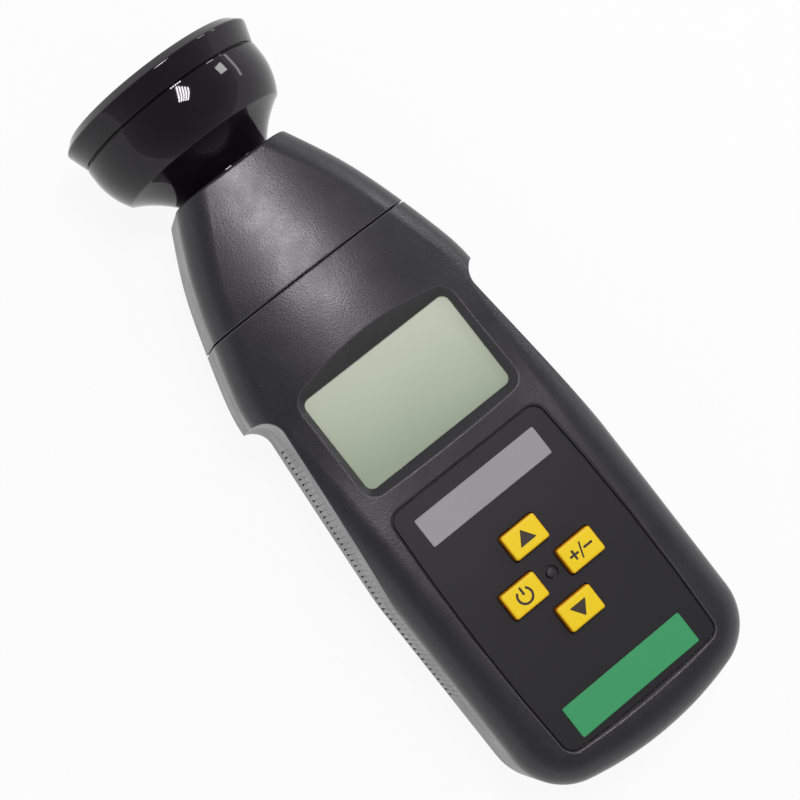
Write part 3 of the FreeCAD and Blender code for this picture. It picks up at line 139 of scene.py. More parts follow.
# %% [markdown]
# ## Room and light
# The instrument lies on a white sweep, a floor that curves up into a wall all round, as in a
# product photographer's light tent. The floor is tilted by the few degrees that let the lens
# ring and the heel of the case both rest on it. A row of narrow strip lamps overhead gives the
# sheen on the head cap, and a small lamp and a long low one on the right draw the edges. They are
# kept narrow, because a large lamp would show as a hard-edged shape in the polished lamp head.

# %% The sweep and the lamps
RING_LOW, RING_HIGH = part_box("bezel_ring")
WIDEST_BEHIND_FRONT = 2.45
RING_REST_Y = RING_HIGH.y - WIDEST_BEHIND_FRONT * MM
HEEL_Y = -66.6 * MM
FLAT_REACH = [0.0, 0.3, 0.6]
FLOOR_FLAT, FLOOR_BEND = 0.85, 0.75
WALL_ANGLE, WALL_STEPS = 75, 24
FLOOR_TURNS = 64

tilt = math.atan2(-RING_LOW.z, RING_REST_Y - HEEL_Y)
bend = np.linspace(0, math.radians(WALL_ANGLE), WALL_STEPS)
reach = np.concatenate([FLAT_REACH, FLOOR_FLAT + FLOOR_BEND * np.sin(bend)])
rise = np.concatenate([np.zeros(len(FLAT_REACH)), FLOOR_BEND * (1 - np.cos(bend))])
turn = np.linspace(0, 2 * math.pi, FLOOR_TURNS, endpoint=False)
flat = np.stack([reach[:, None] * np.cos(turn), reach[:, None] * np.sin(turn),
                 rise[:, None] + 0 * turn], axis=-1)


def grid_faces(rows, columns, close_rows=False, close_columns=False):
    """Quads over a grid of points numbered row by row, joined round where a side closes."""
    i = np.arange(rows if close_rows else rows - 1)[:, None]
    j = np.arange(columns if close_columns else columns - 1)[None, :]
    k, m = (i + 1) % rows, (j + 1) % columns
    quads = np.stack(np.broadcast_arrays(i * columns + j, k * columns + j,
                                         k * columns + m, i * columns + m), axis=-1)
    return quads.reshape(-1, 4)


sweep_mesh = bpy.data.meshes.new("sweep")
sweep_mesh.from_pydata(flat.reshape(-1, 3).tolist(), [],
                       grid_faces(len(reach), FLOOR_TURNS, False, True)[:, ::-1].tolist())
sweep_mesh.shade_smooth()
sweep_mesh.transform(Matrix.Translation((0, HEEL_Y, 0)) @ Matrix.Rotation(-tilt, 4, "X"))
sweep = bpy.data.objects.new("sweep", sweep_mesh)
bpy.context.scene.collection.objects.link(sweep)
print(f"floor tilted {math.degrees(tilt):.2f} degrees")


LAMP_AIM = Vector((0, 0.03, 0.02))


def softbox(name, azimuth, elevation, distance, size, watts, aside=0.0, tint="#ffffff"):
    """An area lamp that looks at the middle of the case from an azimuth and an elevation.

    aside shifts it along its own width, so that several make a row. tint is its hex colour.
    """
    around, above = math.radians(azimuth), math.radians(elevation)
    way = Vector((math.cos(above) * math.cos(around), math.cos(above) * math.sin(around),
                  math.sin(above)))
    lamp = bpy.data.objects.new(name, bpy.data.lights.new(name, "AREA"))
    lamp.data.shape = "RECTANGLE"
    lamp.data.size, lamp.data.size_y = size
    lamp.data.energy = watts
    lamp.data.color = linear(tint)[:3]
    facing = way.to_track_quat("Z", "Y")
    lamp.location = LAMP_AIM + distance * way + facing @ Vector((aside, 0, 0))
    lamp.rotation_euler = facing.to_euler()
    bpy.context.scene.collection.objects.link(lamp)
    return lamp


# every lamp: azimuth and elevation in degrees, distance and size in metres, power in watts
STRIPS, STRIP_SPACING, STRIP_TINT = 5, 0.045, "#fff8ff"
for strip in range(STRIPS):
    softbox(f"top_strip_{strip}", 58, 75, 1.0, (0.026, 0.26), 0.88,
            STRIP_SPACING * (strip - (STRIPS - 1) / 2), STRIP_TINT)
softbox("side_lamp", 14, 28, 1.1, (0.15, 0.2), 1.05)
softbox("low_strip", 14, 11, 1.0, (0.6, 0.06), 0.5)

# %% [markdown]
# The rest of the light is a sky. It is palest low down, where it meets the top of the sweep, and
# fades to grey overhead, so the polished lamp head is shaded softly from its sides to its top.
# The right side is a little brighter, as from a window.

# %% The sky
SKY_LOW, SKY_TOP, SKY_SIDE = 0.37, 0.27, 0.10
RIM, FADE_POWER = 0.33, 2.0
SIDE_FROM, SIDE_TO = -0.2, 0.9
world = bpy.data.worlds.new("studio")
world.use_nodes = True
tree = world.node_tree
way = add(tree, "ShaderNodeTexCoord").outputs["Generated"]
axes = add(tree, "ShaderNodeSeparateXYZ", links={"Vector": way}).outputs
height = between(tree, axes["Z"], RIM, 1, 1, 0)
fade = add(tree, "ShaderNodeMath", {"operation": "POWER"}, {1: FADE_POWER},
           {0: height}).outputs[0]
sky = add(tree, "ShaderNodeMath", {"operation": "MULTIPLY_ADD"}, {1: SKY_LOW, 2: SKY_TOP},
          {0: fade}).outputs[0]
sky = add(tree, "ShaderNodeMath", links={
    0: sky, 1: between(tree, axes["X"], SIDE_FROM, SIDE_TO, 0, SKY_SIDE)}).outputs[0]
camera_ray = add(tree, "ShaderNodeLightPath").outputs["Is Camera Ray"]
sky = add(tree, "ShaderNodeMath", {"operation": "MAXIMUM"},
          links={0: sky, 1: camera_ray}).outputs[0]
backdrop = tree.nodes["Background"]
backdrop.inputs["Color"].default_value = linear("#f6f7fa")
tree.links.new(sky, backdrop.inputs["Strength"])
bpy.context.scene.world = world

# %% [markdown]
# The sweep has to come out white in the picture without more light on the instrument. So what
# the camera, a reflection or clear glass sees of it is partly a plain white glow. The rest is
# ordinary white paint, which keeps the soft shadow under the case.

# %% White paint for the sweep
GLOW_SHARE, MOTTLE = 0.92, 30.0
paint, tree, where = new_material("matt_white_paint")
ray = add(tree, "ShaderNodeLightPath").outputs
seen = add(tree, "ShaderNodeMath", {"operation": "MAXIMUM"},
           links={0: ray["Is Camera Ray"], 1: ray["Is Glossy Ray"]}).outputs[0]
seen = add(tree, "ShaderNodeMath", {"operation": "MAXIMUM"},
           links={0: seen, 1: ray["Is Transmission Ray"]}).outputs[0]
share = between(tree, seen, 0, 1, 0, GLOW_SHARE)
mottle = add(tree, "ShaderNodeTexNoise", None, {"Scale": MOTTLE}, {"Vector": where}).outputs["Fac"]
white = add(tree, "ShaderNodeBsdfDiffuse",
            links={"Color": blend(tree, mottle, "#f8f8f8", "#fcfcfc")})
glow = add(tree, "ShaderNodeEmission", None, {"Strength": 1.0})
finish_with(tree, add(tree, "ShaderNodeMixShader",
                      links={0: share, 1: white.outputs[0], 2: glow.outputs[0]}))
sweep_mesh.materials.append(paint)

# %% [markdown]
# ## Finishes
# Nearly every piece of such an instrument is a moulded plastic, a rubber, a painted sheet or a
# plated metal, and they differ in few ways: two close shades mixed by a fine pattern, the size of
# that pattern, the depth of its relief and how far the gloss varies. So one recipe makes them
# all, and a row for each says what the real one is. Grain finer than about 0.4 mm would be lost
# between the picture's pixels, so the mould grain is drawn that coarse.

# %% The common recipe
EDGE, DRIFT = 0.22, 20.0


def finish(name, dark, light, grain, relief, rough, metallic=0.0, ior=1.5,
           stretch=(1, 1, 1), detail=3.0, clear=0.0, shine=0.5):
    """Two shades and a relief from one noise of a grain in mm, with a wider, slow drift.

    dark and light are hex codes, relief is in mm and rough is the smallest and the largest
    roughness. stretch draws the noise out along an axis, as brushing or drawing does. clear is
    the share of light that passes through, and shine sets how strongly a dull surface mirrors.
    """
    made, tree, where = new_material(name)
    if stretch != (1, 1, 1):
        where = add(tree, "ShaderNodeMapping", None, {"Scale": stretch},
                    {"Vector": where}).outputs[0]
    fine = add(tree, "ShaderNodeTexNoise", None,
               {"Scale": 1 / (grain * MM), "Detail": detail, "Roughness": 0.6},
               {"Vector": where}).outputs["Fac"]
    wide = add(tree, "ShaderNodeTexNoise", None, {"Scale": 1 / (DRIFT * MM), "Detail": 2.0},
               {"Vector": where}).outputs["Fac"]
    both = add(tree, "ShaderNodeMath", {"operation": "MULTIPLY_ADD"}, {1: 0.6},
               {0: fine, 2: between(tree, wide, 0.3, 0.7, 0, 0.4)}).outputs[0]
    colour = blend(tree, both, dark, light)
    edge = add(tree, "ShaderNodeBevel", {"samples": 4}, {"Radius": EDGE * MM}).outputs[0]
    bump = add(tree, "ShaderNodeBump", None, {"Distance": relief * MM, "Strength": 1.0},
               {"Height": fine, "Normal": edge})
    values = {"Metallic": metallic, "Transmission Weight": clear, "Specular IOR Level": shine}
    if not metallic:
        values["IOR"] = ior
    shader = add(tree, "ShaderNodeBsdfPrincipled", None, values,
                 {"Base Color": colour, "Normal": bump.outputs[0],
                  "Roughness": between(tree, fine, 0.3, 0.7, *rough)})
    finish_with(tree, shader)
    return made


# %% [markdown]
# The rows. The panel is a satin polyester sheet, smoother and darker than the case. The lamp head
# is high-gloss black plastic from a polished mould, nearly without grain. Inside are the plain
# finishes of an electronic instrument: nylon, rubber, plated steel, quartz and aluminised plastic.

# %% The table of finishes
# slot: name, darker and lighter shade, grain and relief in mm, roughness from and to, the rest
recipes = {
    # a flat satin black, a shade darker than the case, so the keys and labels stand out
    "panel_film": ("satin_polyester_sheet", "#161518", "#1f1e21", 0.5, 0.004, (0.42, 0.5), {
        "shine": 0.32}),
    # a mid grey print with hardly any shine
    "grey_label": ("grey_printed_film", "#949495", "#a0a0a0", 0.5, 0.004, (0.4, 0.5), {}),
    # a plain strong green, the one large patch of colour besides the keys
    "green_label": ("green_printed_film", "#2f9c5c", "#39a766", 0.5, 0.004, (0.4, 0.5), {}),
    # a soft dull black that shows the domed head by its shading only
    "stud_plastic": ("black_nylon", "#1b1b1d", "#232325", 0.4, 0.01, (0.45, 0.55), {}),
    # a pale green ground under the window
    "display_grey": ("coated_display_glass", "#a9b79a", "#b4c2a6", 1.0, 0.0, (0.1, 0.14), {}),
    # a dull black that disappears behind the display
    "frame_plastic": ("matt_black_abs", "#202022", "#29292b", 0.4, 0.01, (0.5, 0.6), {}),
    # a dusty dark grey from the glass fibres in it
    "switch_plastic": ("glass_filled_nylon", "#2b2b2d", "#38383a", 0.35, 0.012, (0.5, 0.65), {}),
    # a plain dark moulding that lets the cells stand out when the door is open
    "tray_plastic": ("black_abs_tray", "#29292b", "#343437", 0.42, 0.014, (0.42, 0.55), {}),
    # a dead matt black with square edges
    "chip_epoxy": ("moulded_epoxy", "#1b1b1c", "#262628", 0.25, 0.006, (0.55, 0.68), {}),
    # a warm silver with soft reflections for springs and contacts
    "bright_metal": ("nickel_plate_on_steel", "#c4c2bb", "#d6d4ce", 0.4, 0.002, (0.16, 0.3), {
        "metallic": 1.0}),
    # a mirror-like black that shows its shape only by what it reflects
    "gloss_black": ("high_gloss_black_abs", "#120d12", "#191319", 3.0, 0.0012, (0.03, 0.06), {
        "detail": 1.0, "shine": 0.36}),
    # a waxy, half-dull black
    "nut_plastic": ("black_acetal", "#1d1d1f", "#28282a", 0.4, 0.006, (0.35, 0.45), {}),
    # a soft black line round the lens with no shine
    "gasket_rubber": ("black_nitrile_rubber", "#161617", "#1f1f20", 0.5, 0.01, (0.6, 0.75), {}),
    # a clear disc that shows by its reflections and a thin bright rim
    "lens_clear": ("clear_polycarbonate", "#f6faf9", "#ffffff", 6.0, 0.0015, (0.0, 0.03), {
        "ior": 1.585, "clear": 1.0, "detail": 0.0}),
    # a bright bowl with slightly wavy reflections
    "reflector_metal": ("vacuum_aluminised_plastic", "#dcdddd", "#ececeb", 2.5, 0.004,
                        (0.04, 0.12), {"metallic": 1.0}),
    # a clear thin tube that bends what lies behind it
    "tube_quartz": ("fused_quartz", "#fbfdff", "#ffffff", 4.0, 0.001, (0.0, 0.03), {
        "ior": 1.458, "clear": 1.0, "detail": 0.0}),
    # a blue-black shiny skin with faint lengthwise creases
    "capacitor_sleeve": ("black_pvc_shrink_sleeve", "#1d2026", "#282c34", 1.2, 0.01,
                         (0.25, 0.4), {"stretch": (0.3, 1, 1)}),
    # a dull brown-grey like fired clay
    "ferrite": ("sintered_ferrite", "#3a3735", "#4b4845", 0.5, 0.02, (0.55, 0.75), {}),
    # a soft red that sets the lamp's leads apart
    "lead_sleeve": ("red_silicone_wire_sleeve", "#8e1f1c", "#a22a25", 1.0, 0.006,
                    (0.35, 0.45), {}),
    # a grey-blue metal, brushed by turning
    "screw_steel": ("zinc_plated_steel", "#8f9397", "#b3b7bb", 0.35, 0.004, (0.24, 0.42), {
        "metallic": 1.0, "stretch": (1, 1, 0.3)}),
    # a nearly black metal with a small bright glint
    "board_screw_steel": ("blackened_steel", "#3b3b3d", "#4e4e51", 0.35, 0.004, (0.3, 0.45), {
        "metallic": 1.0}),
}
finishes = {slot: finish(*row[:6], **row[6]) for slot, row in recipes.items()}
print(f"{len(finishes)} finishes from the common recipe")

# %% [markdown]
# ## Finishes with a pattern of their own
# Seven finishes have a pattern that one noise can't give: the case, whose sheen is broken up by
# the mould's grain and by use and whose edges carry a painted highlight, the keys, whose rounded
# rims and sides are painted a deeper orange as shade, the display's pale green, which deepens
# towards its lower and left edges as painted shade, the solder mask with its copper tracks, the
# layered rubber contact strips, the wound coils and the printed sleeves of the cells.

# %% The case
CASE_EDGE, CASE_GRAIN, CASE_PIT, CASE_USE, CASE_RELIEF = 0.6, 0.4, 0.6, 11.0, 0.028
# how far the edges are painted paler: a painted highlight along every edge, which also stands for
# wear
CASE_EDGE_WEAR_AND_HIGHLIGHT, WEAR_POLISH = 0.42, -0.12


def case_finish():
    """Black ABS from a spark-eroded mould, a little worn.

    Fine noise with shallow pits is the mould's grain, which makes the sheen glitter. A slow noise
    is the trace of use: it only changes how rough the surface is. Edges are polished, and they
    are painted paler, a painted highlight that also stands for wear: they show where the rounded
    normal of the Bevel node leaves the true one.
    """
    made, tree, where = new_material("spark_textured_abs")
    grain = add(tree, "ShaderNodeTexNoise", None,
                {"Scale": 1 / (CASE_GRAIN * MM), "Detail": 2.0, "Roughness": 0.55},
                {"Vector": where}).outputs["Fac"]
    pits = add(tree, "ShaderNodeTexVoronoi", None, {"Scale": 1 / (CASE_PIT * MM)},
               {"Vector": where}).outputs["Distance"]
    height = add(tree, "ShaderNodeMath", {"operation": "MULTIPLY_ADD"}, {1: 0.35},
                 {0: pits, 2: grain}).outputs[0]
    use = add(tree, "ShaderNodeTexNoise", None,
              {"Scale": 1 / (CASE_USE * MM), "Detail": 5.0, "Roughness": 0.55},
              {"Vector": where}).outputs["Fac"]
    rounded = add(tree, "ShaderNodeBevel", {"samples": 6}, {"Radius": CASE_EDGE * MM}).outputs[0]
    plain = add(tree, "ShaderNodeNewGeometry").outputs["Normal"]
    apart = add(tree, "ShaderNodeVectorMath", {"operation": "DOT_PRODUCT"},
                links={0: rounded, 1: plain}).outputs["Value"]
    edge_wear_and_highlight = between(tree, apart, 0.995, 0.9, 0, CASE_EDGE_WEAR_AND_HIGHLIGHT)
    colour = blend(tree, between(tree, grain, 0.3, 0.7), "#232225", "#2f2e31")
    # the edges are painted a pale grey: a painted highlight that also stands for rubbed wear
    colour = blend(tree, edge_wear_and_highlight, colour, "#838189")
    rough = between(tree, use, 0.3, 0.7, 0.27, 0.37)
    rough = add(tree, "ShaderNodeMath", {"operation": "MULTIPLY_ADD"}, {1: WEAR_POLISH},
                {0: edge_wear_and_highlight, 2: rough}).outputs[0]
    bump = add(tree, "ShaderNodeBump", None, {"Distance": CASE_RELIEF * MM},
               {"Height": height, "Normal": rounded})
    shader = add(tree, "ShaderNodeBsdfPrincipled", None, None,
                 {"Base Color": colour, "Normal": bump.outputs[0], "Roughness": rough})
    finish_with(tree, shader)
    return made


finishes["case_plastic"] = case_finish()

# %% The keys
KEY_RIM, KEY_CLOUD = 0.8, 0.6


def key_finish():
    """Translucent yellow silicone rubber, pressed in a mould.

    The flat top is yellow. The rounded rim and the sides are painted a deeper orange, as painted
    shade where they turn away from the light. The height of the rounded normal tells them apart.
    """
    made, tree, where = new_material("yellow_silicone_rubber")
    rounded = add(tree, "ShaderNodeBevel", {"samples": 6}, {"Radius": KEY_RIM * MM}).outputs[0]
    up = add(tree, "ShaderNodeSeparateXYZ", links={"Vector": rounded}).outputs["Z"]
    cloud = add(tree, "ShaderNodeTexNoise", None, {"Scale": 1 / (KEY_CLOUD * MM), "Detail": 2.0},
                {"Vector": where}).outputs["Fac"]
    top = blend(tree, cloud, "#ffd60d", "#ffe31c")
    # painted shade: the rounded rim and the sides are painted a deeper orange, the flat top stays
    # yellow
    colour = blend(tree, between(tree, up, 0.45, 0.99), "#d8860a", top)
    bump = add(tree, "ShaderNodeBump", None, {"Distance": 0.006 * MM},
               {"Height": cloud, "Normal": rounded})
    shader = add(tree, "ShaderNodeBsdfPrincipled", None,
                 {"IOR": 1.43, "Specular IOR Level": 0.4},
                 {"Base Color": colour, "Normal": bump.outputs[0],
                  "Roughness": between(tree, cloud, 0.3, 0.7, 0.34, 0.44)})
    finish_with(tree, shader)
    return made


finishes["key_rubber"] = key_finish()

# %% The display behind its window
WINDOW_LOW, WINDOW_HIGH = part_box("display_window")
# how strongly the painted shade deepens towards the window's left side and eases at its right
LEFT_SHADE, RIGHT_SHADE = 0.26, -0.08
CLOUD_SIZE, CLOUD_SHARE = 12.0, 0.1


def display_finish():
    """Green-grey liquid crystal seen through a clear acrylic window that is bonded to it.

    The colour runs from a pale to a deeper green over the window's height and towards its left
    side: a painted fall of light, paler towards the top and the right, with painted shade towards
    the lower and left edges. A clear coat stands for the acrylic: no texture below it, a sharp
    thin reflection above.
    """
    made, tree, where = new_material("acrylic_over_liquid_crystal")
    axes = add(tree, "ShaderNodeSeparateXYZ", links={"Vector": where}).outputs
    along = between(tree, axes["Y"], WINDOW_LOW.y, WINDOW_HIGH.y)
    across = between(tree, axes["X"], WINDOW_LOW.x, WINDOW_HIGH.x, LEFT_SHADE, RIGHT_SHADE)
    # painted light and shade: paler towards the top and the right, deeper green towards the lower
    # left
    painted_light_fall = add(tree, "ShaderNodeMath", {"operation": "SUBTRACT"},
               links={0: along, 1: across}).outputs[0]
    cloud = add(tree, "ShaderNodeTexNoise", None, {"Scale": 1 / (CLOUD_SIZE * MM), "Detail": 1.0},
                {"Vector": where}).outputs["Fac"]
    factor = add(tree, "ShaderNodeMath", {"operation": "MULTIPLY_ADD"}, {1: CLOUD_SHARE},
                 {0: cloud, 2: painted_light_fall}).outputs[0]
    colour = blend(tree, factor, "#9cae8f", "#ced9c0")
    shader = add(tree, "ShaderNodeBsdfPrincipled", None,
                 {"Roughness": 0.5, "Coat Weight": 1.0, "Coat Roughness": 0.02,
                  "Coat IOR": 1.49}, {"Base Color": colour})
    finish_with(tree, shader)
    return made


finishes["clear_plastic"] = display_finish()

# %% Boards, strips, windings and cells
def banded(name, axis, pitch, dark, light, rough, relief=0.02):
    """Bands across an axis: a sine of the Object coordinate with a pitch and a relief in mm."""
    made, tree, where = new_material(name)
    wave = add(tree, "ShaderNodeTexWave", {"bands_direction": axis},
               {"Scale": 2 * math.pi / (20 * pitch * MM), "Distortion": 0.0},
               {"Vector": where}).outputs["Fac"]
    grain = add(tree, "ShaderNodeTexNoise", None, {"Scale": 1 / (0.3 * MM)},
                {"Vector": where}).outputs["Fac"]
    colour = blend(tree, wave, dark, light)
    bump = add(tree, "ShaderNodeBump", None, {"Distance": relief * MM}, {"Height": wave})
    shader = add(tree, "ShaderNodeBsdfPrincipled", None, None,
                 {"Base Color": colour, "Normal": bump.outputs[0],
                  "Roughness": between(tree, grain, 0.3, 0.7, *rough)})
    finish_with(tree, shader)
    return made


# conductive and insulating rubber in layers, drawn four times as coarse as the real 0.1 mm
finishes["contact_rubber"] = banded("layered_contact_rubber", "X", 0.4, "#1c1c1e", "#b9b6ae",
                                    (0.5, 0.6))
# polyester tape over enamelled wire, whose turns show through as ridges
finishes["winding_tape"] = banded("tape_over_enamelled_wire", "Y", 0.6, "#9a5a12", "#c98a2a",
                                  (0.3, 0.4), relief=0.05)

TRACK_LENGTH, TRACK_PITCH, TRACK_GAP, PAD_PITCH = 7.0, 1.7, 0.18, 2.6


def board_finish():
    """Green solder mask on glass epoxy: it shows fine paler tracks and bright round solder points.

    A brick pattern stands for the tracks and the middles of Voronoi cells for the points.
    """
    made, tree, where = new_material("solder_mask_on_glass_epoxy")
    tracks = add(tree, "ShaderNodeTexBrick", {"offset": 0.5},
                 {"Scale": 1.0, "Brick Width": TRACK_LENGTH * MM, "Row Height": TRACK_PITCH * MM,
                  "Mortar Size": TRACK_GAP * MM, "Mortar Smooth": 0.2}, {"Vector": where})
    pads = add(tree, "ShaderNodeTexVoronoi", None,
               {"Scale": 1 / (PAD_PITCH * MM), "Randomness": 0.35},
               {"Vector": where}).outputs["Distance"]
    colour = blend(tree, tracks.outputs["Fac"], "#14532f", "#2c7a49")
    solder = between(tree, pads, 0.17, 0.2, 1, 0)
    colour = blend(tree, solder, colour, "#c9c8bf")
    bump = add(tree, "ShaderNodeBump", None, {"Distance": 0.035 * MM},
               {"Height": tracks.outputs["Fac"]})
    shader = add(tree, "ShaderNodeBsdfPrincipled", None,
                 {"Coat Weight": 0.4, "Coat Roughness": 0.15},
                 {"Base Color": colour, "Normal": bump.outputs[0], "Metallic": solder,
                  "Roughness": between(tree, solder, 0, 1, 0.42, 0.25)})
    finish_with(tree, shader)
    return made


SLEEVE_FOOT, SHOULDER_FROM, SLEEVE_TOP, BLUR = 0.015, 0.68, 0.96, 0.005


def sleeve_finish():
    """A plain printed sleeve: a copper shoulder at one end, dark grey on the rest of the cell.

    The foot and the top show the bare steel can. The borders are shares of the cell's length.
    """
    made, tree, where = new_material("printed_cell_sleeve")
    low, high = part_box("battery_cells")
    axes = add(tree, "ShaderNodeSeparateXYZ", links={"Vector": where}).outputs
    share = between(tree, axes["Y"], low.y, high.y)
    band = between(tree, share, SHOULDER_FROM, SHOULDER_FROM + BLUR)
    ends = between(tree, share, SLEEVE_FOOT, SLEEVE_FOOT + BLUR, 1, 0)
    top = between(tree, share, SLEEVE_TOP, SLEEVE_TOP + BLUR)
    grain = add(tree, "ShaderNodeTexNoise", None, {"Scale": 1 / (2 * MM)},
                {"Vector": where}).outputs["Fac"]
    grey = blend(tree, grain, "#2f3136", "#3a3d43")
    colour = blend(tree, band, grey, "#b4713a")
    colour = blend(tree, ends, colour, "#c9c9c6")
    colour = blend(tree, top, colour, "#c9c9c6")
    shader = add(tree, "ShaderNodeBsdfPrincipled", None,
                 {"Metallic": 0.7, "Coat Weight": 0.6, "Coat Roughness": 0.1},
                 {"Base Color": colour, "Roughness": between(tree, grain, 0.3, 0.7, 0.28, 0.38)})
    finish_with(tree, shader)
    return made


finishes["circuit_board"] = board_finish()
finishes["cell_sleeve"] = sleeve_finish()

# %% [markdown]
# Each CAD node already carries the name of its material slot, so handing out the finishes is one
# loop over the slots.

# %% Hand out the finishes
for node in nodes.values():
    for held in node.material_slots:
        held.material = finishes[held.material.name]
print("finishes handed out:", len({held.material.name for node in nodes.values()
                                   for held in node.material_slots}))

# %% [markdown]
# ## Turned pieces
# The lamp housing and the lens ring are bodies of revolution with a polished surface, and a
# reflection shows every flat. A lathe profile carried round the lamp's axis in fine steps is the
# natural way: it keeps the gloss smooth and costs few points along straight runs. The corners of
# the profile are eased first, because a moulded edge is never sharp and its thin line of light
# is what makes it look real.

# %% Profiles and surfaces
def eased(corners, cuts, steps=7):
    """A closed outline with rounded corners, as one array.

    Each corner becomes a quadratic curve. It starts one cut length before the corner, ends one
    cut length after it, and the corner itself is the middle control point.
    """
    p = np.asarray(corners, float)
    cut = np.broadcast_to(np.asarray(cuts, float), len(p))[:, None]
    back, on = np.roll(p, 1, axis=0) - p, np.roll(p, -1, axis=0) - p
    back /= np.linalg.norm(back, axis=1, keepdims=True)
    on /= np.linalg.norm(on, axis=1, keepdims=True)
    t = np.linspace(0, 1, steps)[None, :, None]
    start, stop = (p + back * cut)[:, None], (p + on * cut)[:, None]
    curve = (1 - t) ** 2 * start + 2 * t * (1 - t) * p[:, None] + t ** 2 * stop
    return curve.reshape(-1, p.shape[1])


def corner(before, at, after, cut, steps=5):
    """One rounded corner between three points of an outline, as the function above makes it."""
    return eased([before, at, after], cut, steps)[steps:2 * steps]


def arc(start, stop, radius, steps=24):
    """Points along a circular arc between two profile points, without the first.

    The centre lies on the chord's bisector, at the root of radius squared less half the chord
    squared. A positive radius bulges away from the axis, a negative one towards it.
    """
    a, b = np.array(start, float), np.array(stop, float)
    chord = b - a
    half = np.linalg.norm(chord) / 2
    normal = np.array([chord[1], -chord[0]]) / (2 * half)
    centre = (a + b) / 2 - math.copysign(math.sqrt(radius ** 2 - half ** 2), radius) * normal
    first, last = (math.atan2(*(point - centre)[::-1]) for point in (a, b))
    last = first + (last - first + math.pi) % (2 * math.pi) - math.pi
    angle = np.linspace(first, last, steps + 1)[1:]
    return centre + abs(radius) * np.stack([np.cos(angle), np.sin(angle)], axis=-1)


def piece(name, points, faces, body, slot, smooth=24):
    """A mesh object from arrays, its faces turned outwards by the sign of its volume."""
    points = np.asarray(points, float).reshape(-1, 3)
    made = bpy.data.meshes.new(name)
    made.from_pydata(points.tolist(), [], [list(face) for face in faces])
    made.update()
    area = np.zeros(len(made.polygons))
    normal = np.zeros(len(made.polygons) * 3)
    centre = np.zeros(len(made.polygons) * 3)
    made.polygons.foreach_get("area", area)
    made.polygons.foreach_get("normal", normal)
    made.polygons.foreach_get("center", centre)
    volume = (area[:, None] * normal.reshape(-1, 3) * centre.reshape(-1, 3)).sum() / 3
    if volume < 0:
        made.flip_normals()
    made.shade_smooth()
    made.set_sharp_from_angle(angle=math.radians(smooth))
    made.materials.append(finishes[slot])
    thing = bpy.data.objects.new(name, made)
    bpy.context.scene.collection.objects.link(thing)
    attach(thing, body)
    print(f"{name}: {len(made.polygons)} faces, {abs(volume) * 1e9:.1f} mm3")
    return thing


LAMP_AXIS = (RING_LOW.z + RING_HIGH.z) / 2
TURN_STEPS = 240


def turned(name, profile, body, slot):
    """A closed profile of radius and station in mm, carried round the lamp's axis.

    A point is (r cos a, y, axis + r sin a) for every profile point and every angle a.
    """
    profile = np.asarray(profile, float) * MM
    angle = np.linspace(0, 2 * math.pi, TURN_STEPS, endpoint=False)
    radius, along = profile[:, :1], profile[:, 1:]
    points = np.stack([radius * np.cos(angle), along + 0 * angle,
                       LAMP_AXIS + radius * np.sin(angle)], axis=-1)
    faces = grid_faces(len(profile), TURN_STEPS, True, True)
    return piece(name, points, faces, body, slot)


# %% [markdown]
# The housing starts as a slim neck in the head cap, flares in a hollow curve to a crease and
# swells from there as a bell to the band under the lens ring. The ring is a shallow cone that
# grows towards the front, with a bevel and a flat lip that holds the lens.

# %% Lamp housing and lens ring
HOUSING_LOW, HOUSING_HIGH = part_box("lamp_housing")
neck_end, mouth = HOUSING_LOW.y / MM, HOUSING_HIGH.y / MM
# radii, then stations behind the mouth, then the arcs' radii and the corners' cuts, all in mm
NECK, NECK_BORE, CREASE, BELL = 13.3, 10.8, 23.2, 26.35
THREAD, THREAD_BORE, WALL = 24.6, 22.6, 1.8
neck_top, crease_at, bell_full, band_end = mouth - np.array([25.1, 16.75, 6.7, 3.5])
FLARE, SWELL, CREASE_CUT, BAND_CUT = -30.0, 18.3, 0.15, 0.25
flare = arc((NECK, neck_top), (CREASE, crease_at), FLARE)
swell = arc((CREASE, crease_at), (BELL, bell_full), SWELL)
housing_profile = np.concatenate([
    [(NECK_BORE, neck_end), (NECK, neck_end), (NECK, neck_top)], flare[:-1],
    corner(flare[-2], flare[-1], swell[0], CREASE_CUT), swell,
    corner(swell[-1], (BELL, band_end), (THREAD, band_end), BAND_CUT),
    [(THREAD, band_end), (THREAD, mouth), (THREAD_BORE, mouth), (THREAD_BORE, band_end - WALL),
     (CREASE - WALL, crease_at + WALL / 2), (NECK_BORE, neck_top + WALL)]])
housing = turned("lamp_housing_gloss", housing_profile, "case", "gloss_black")
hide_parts("lamp_housing")

ring_back, ring_front = RING_LOW.y / MM, RING_HIGH.y / MM
RING_BORE, RING_BACK, RING_WIDEST, RING_FACE, RING_OPENING = 24.7, 26.2, 27.9, 25.5, 21.6
WIDEST_FROM, BEVEL_FROM = ring_front - 2.7, ring_front - 2.2
lens_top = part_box("lens")[1].y / MM
RING_CUTS = (0.12, 0.3, 0.22, 0.22, 0.4, 0.3, 0.1, 0.1)
ring_profile = eased([
    (RING_BORE, ring_back), (RING_BACK, ring_back), (RING_WIDEST, WIDEST_FROM),
    (RING_WIDEST, BEVEL_FROM), (RING_FACE, ring_front), (RING_OPENING, ring_front),
    (RING_OPENING, lens_top), (RING_BORE, lens_top)], RING_CUTS)
ring = turned("lens_ring", ring_profile, "bezel", "gloss_black")
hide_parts("bezel_ring")

# %% [markdown]
# The stud in the middle of the keys stands a little proud of the panel in a wider hole. It is a
# pin with a softly domed head, so it is turned too, about its own upright axis.

# %% The stud
STUD_LOW, STUD_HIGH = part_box("centre_stud")
STUD_RADIUS, STUD_RISE, STUD_DOME = 1.25, 0.55, 0.1
PIN_STEPS, PIN_CENTRE, PIN_CUT = 64, 0.02, 0.25


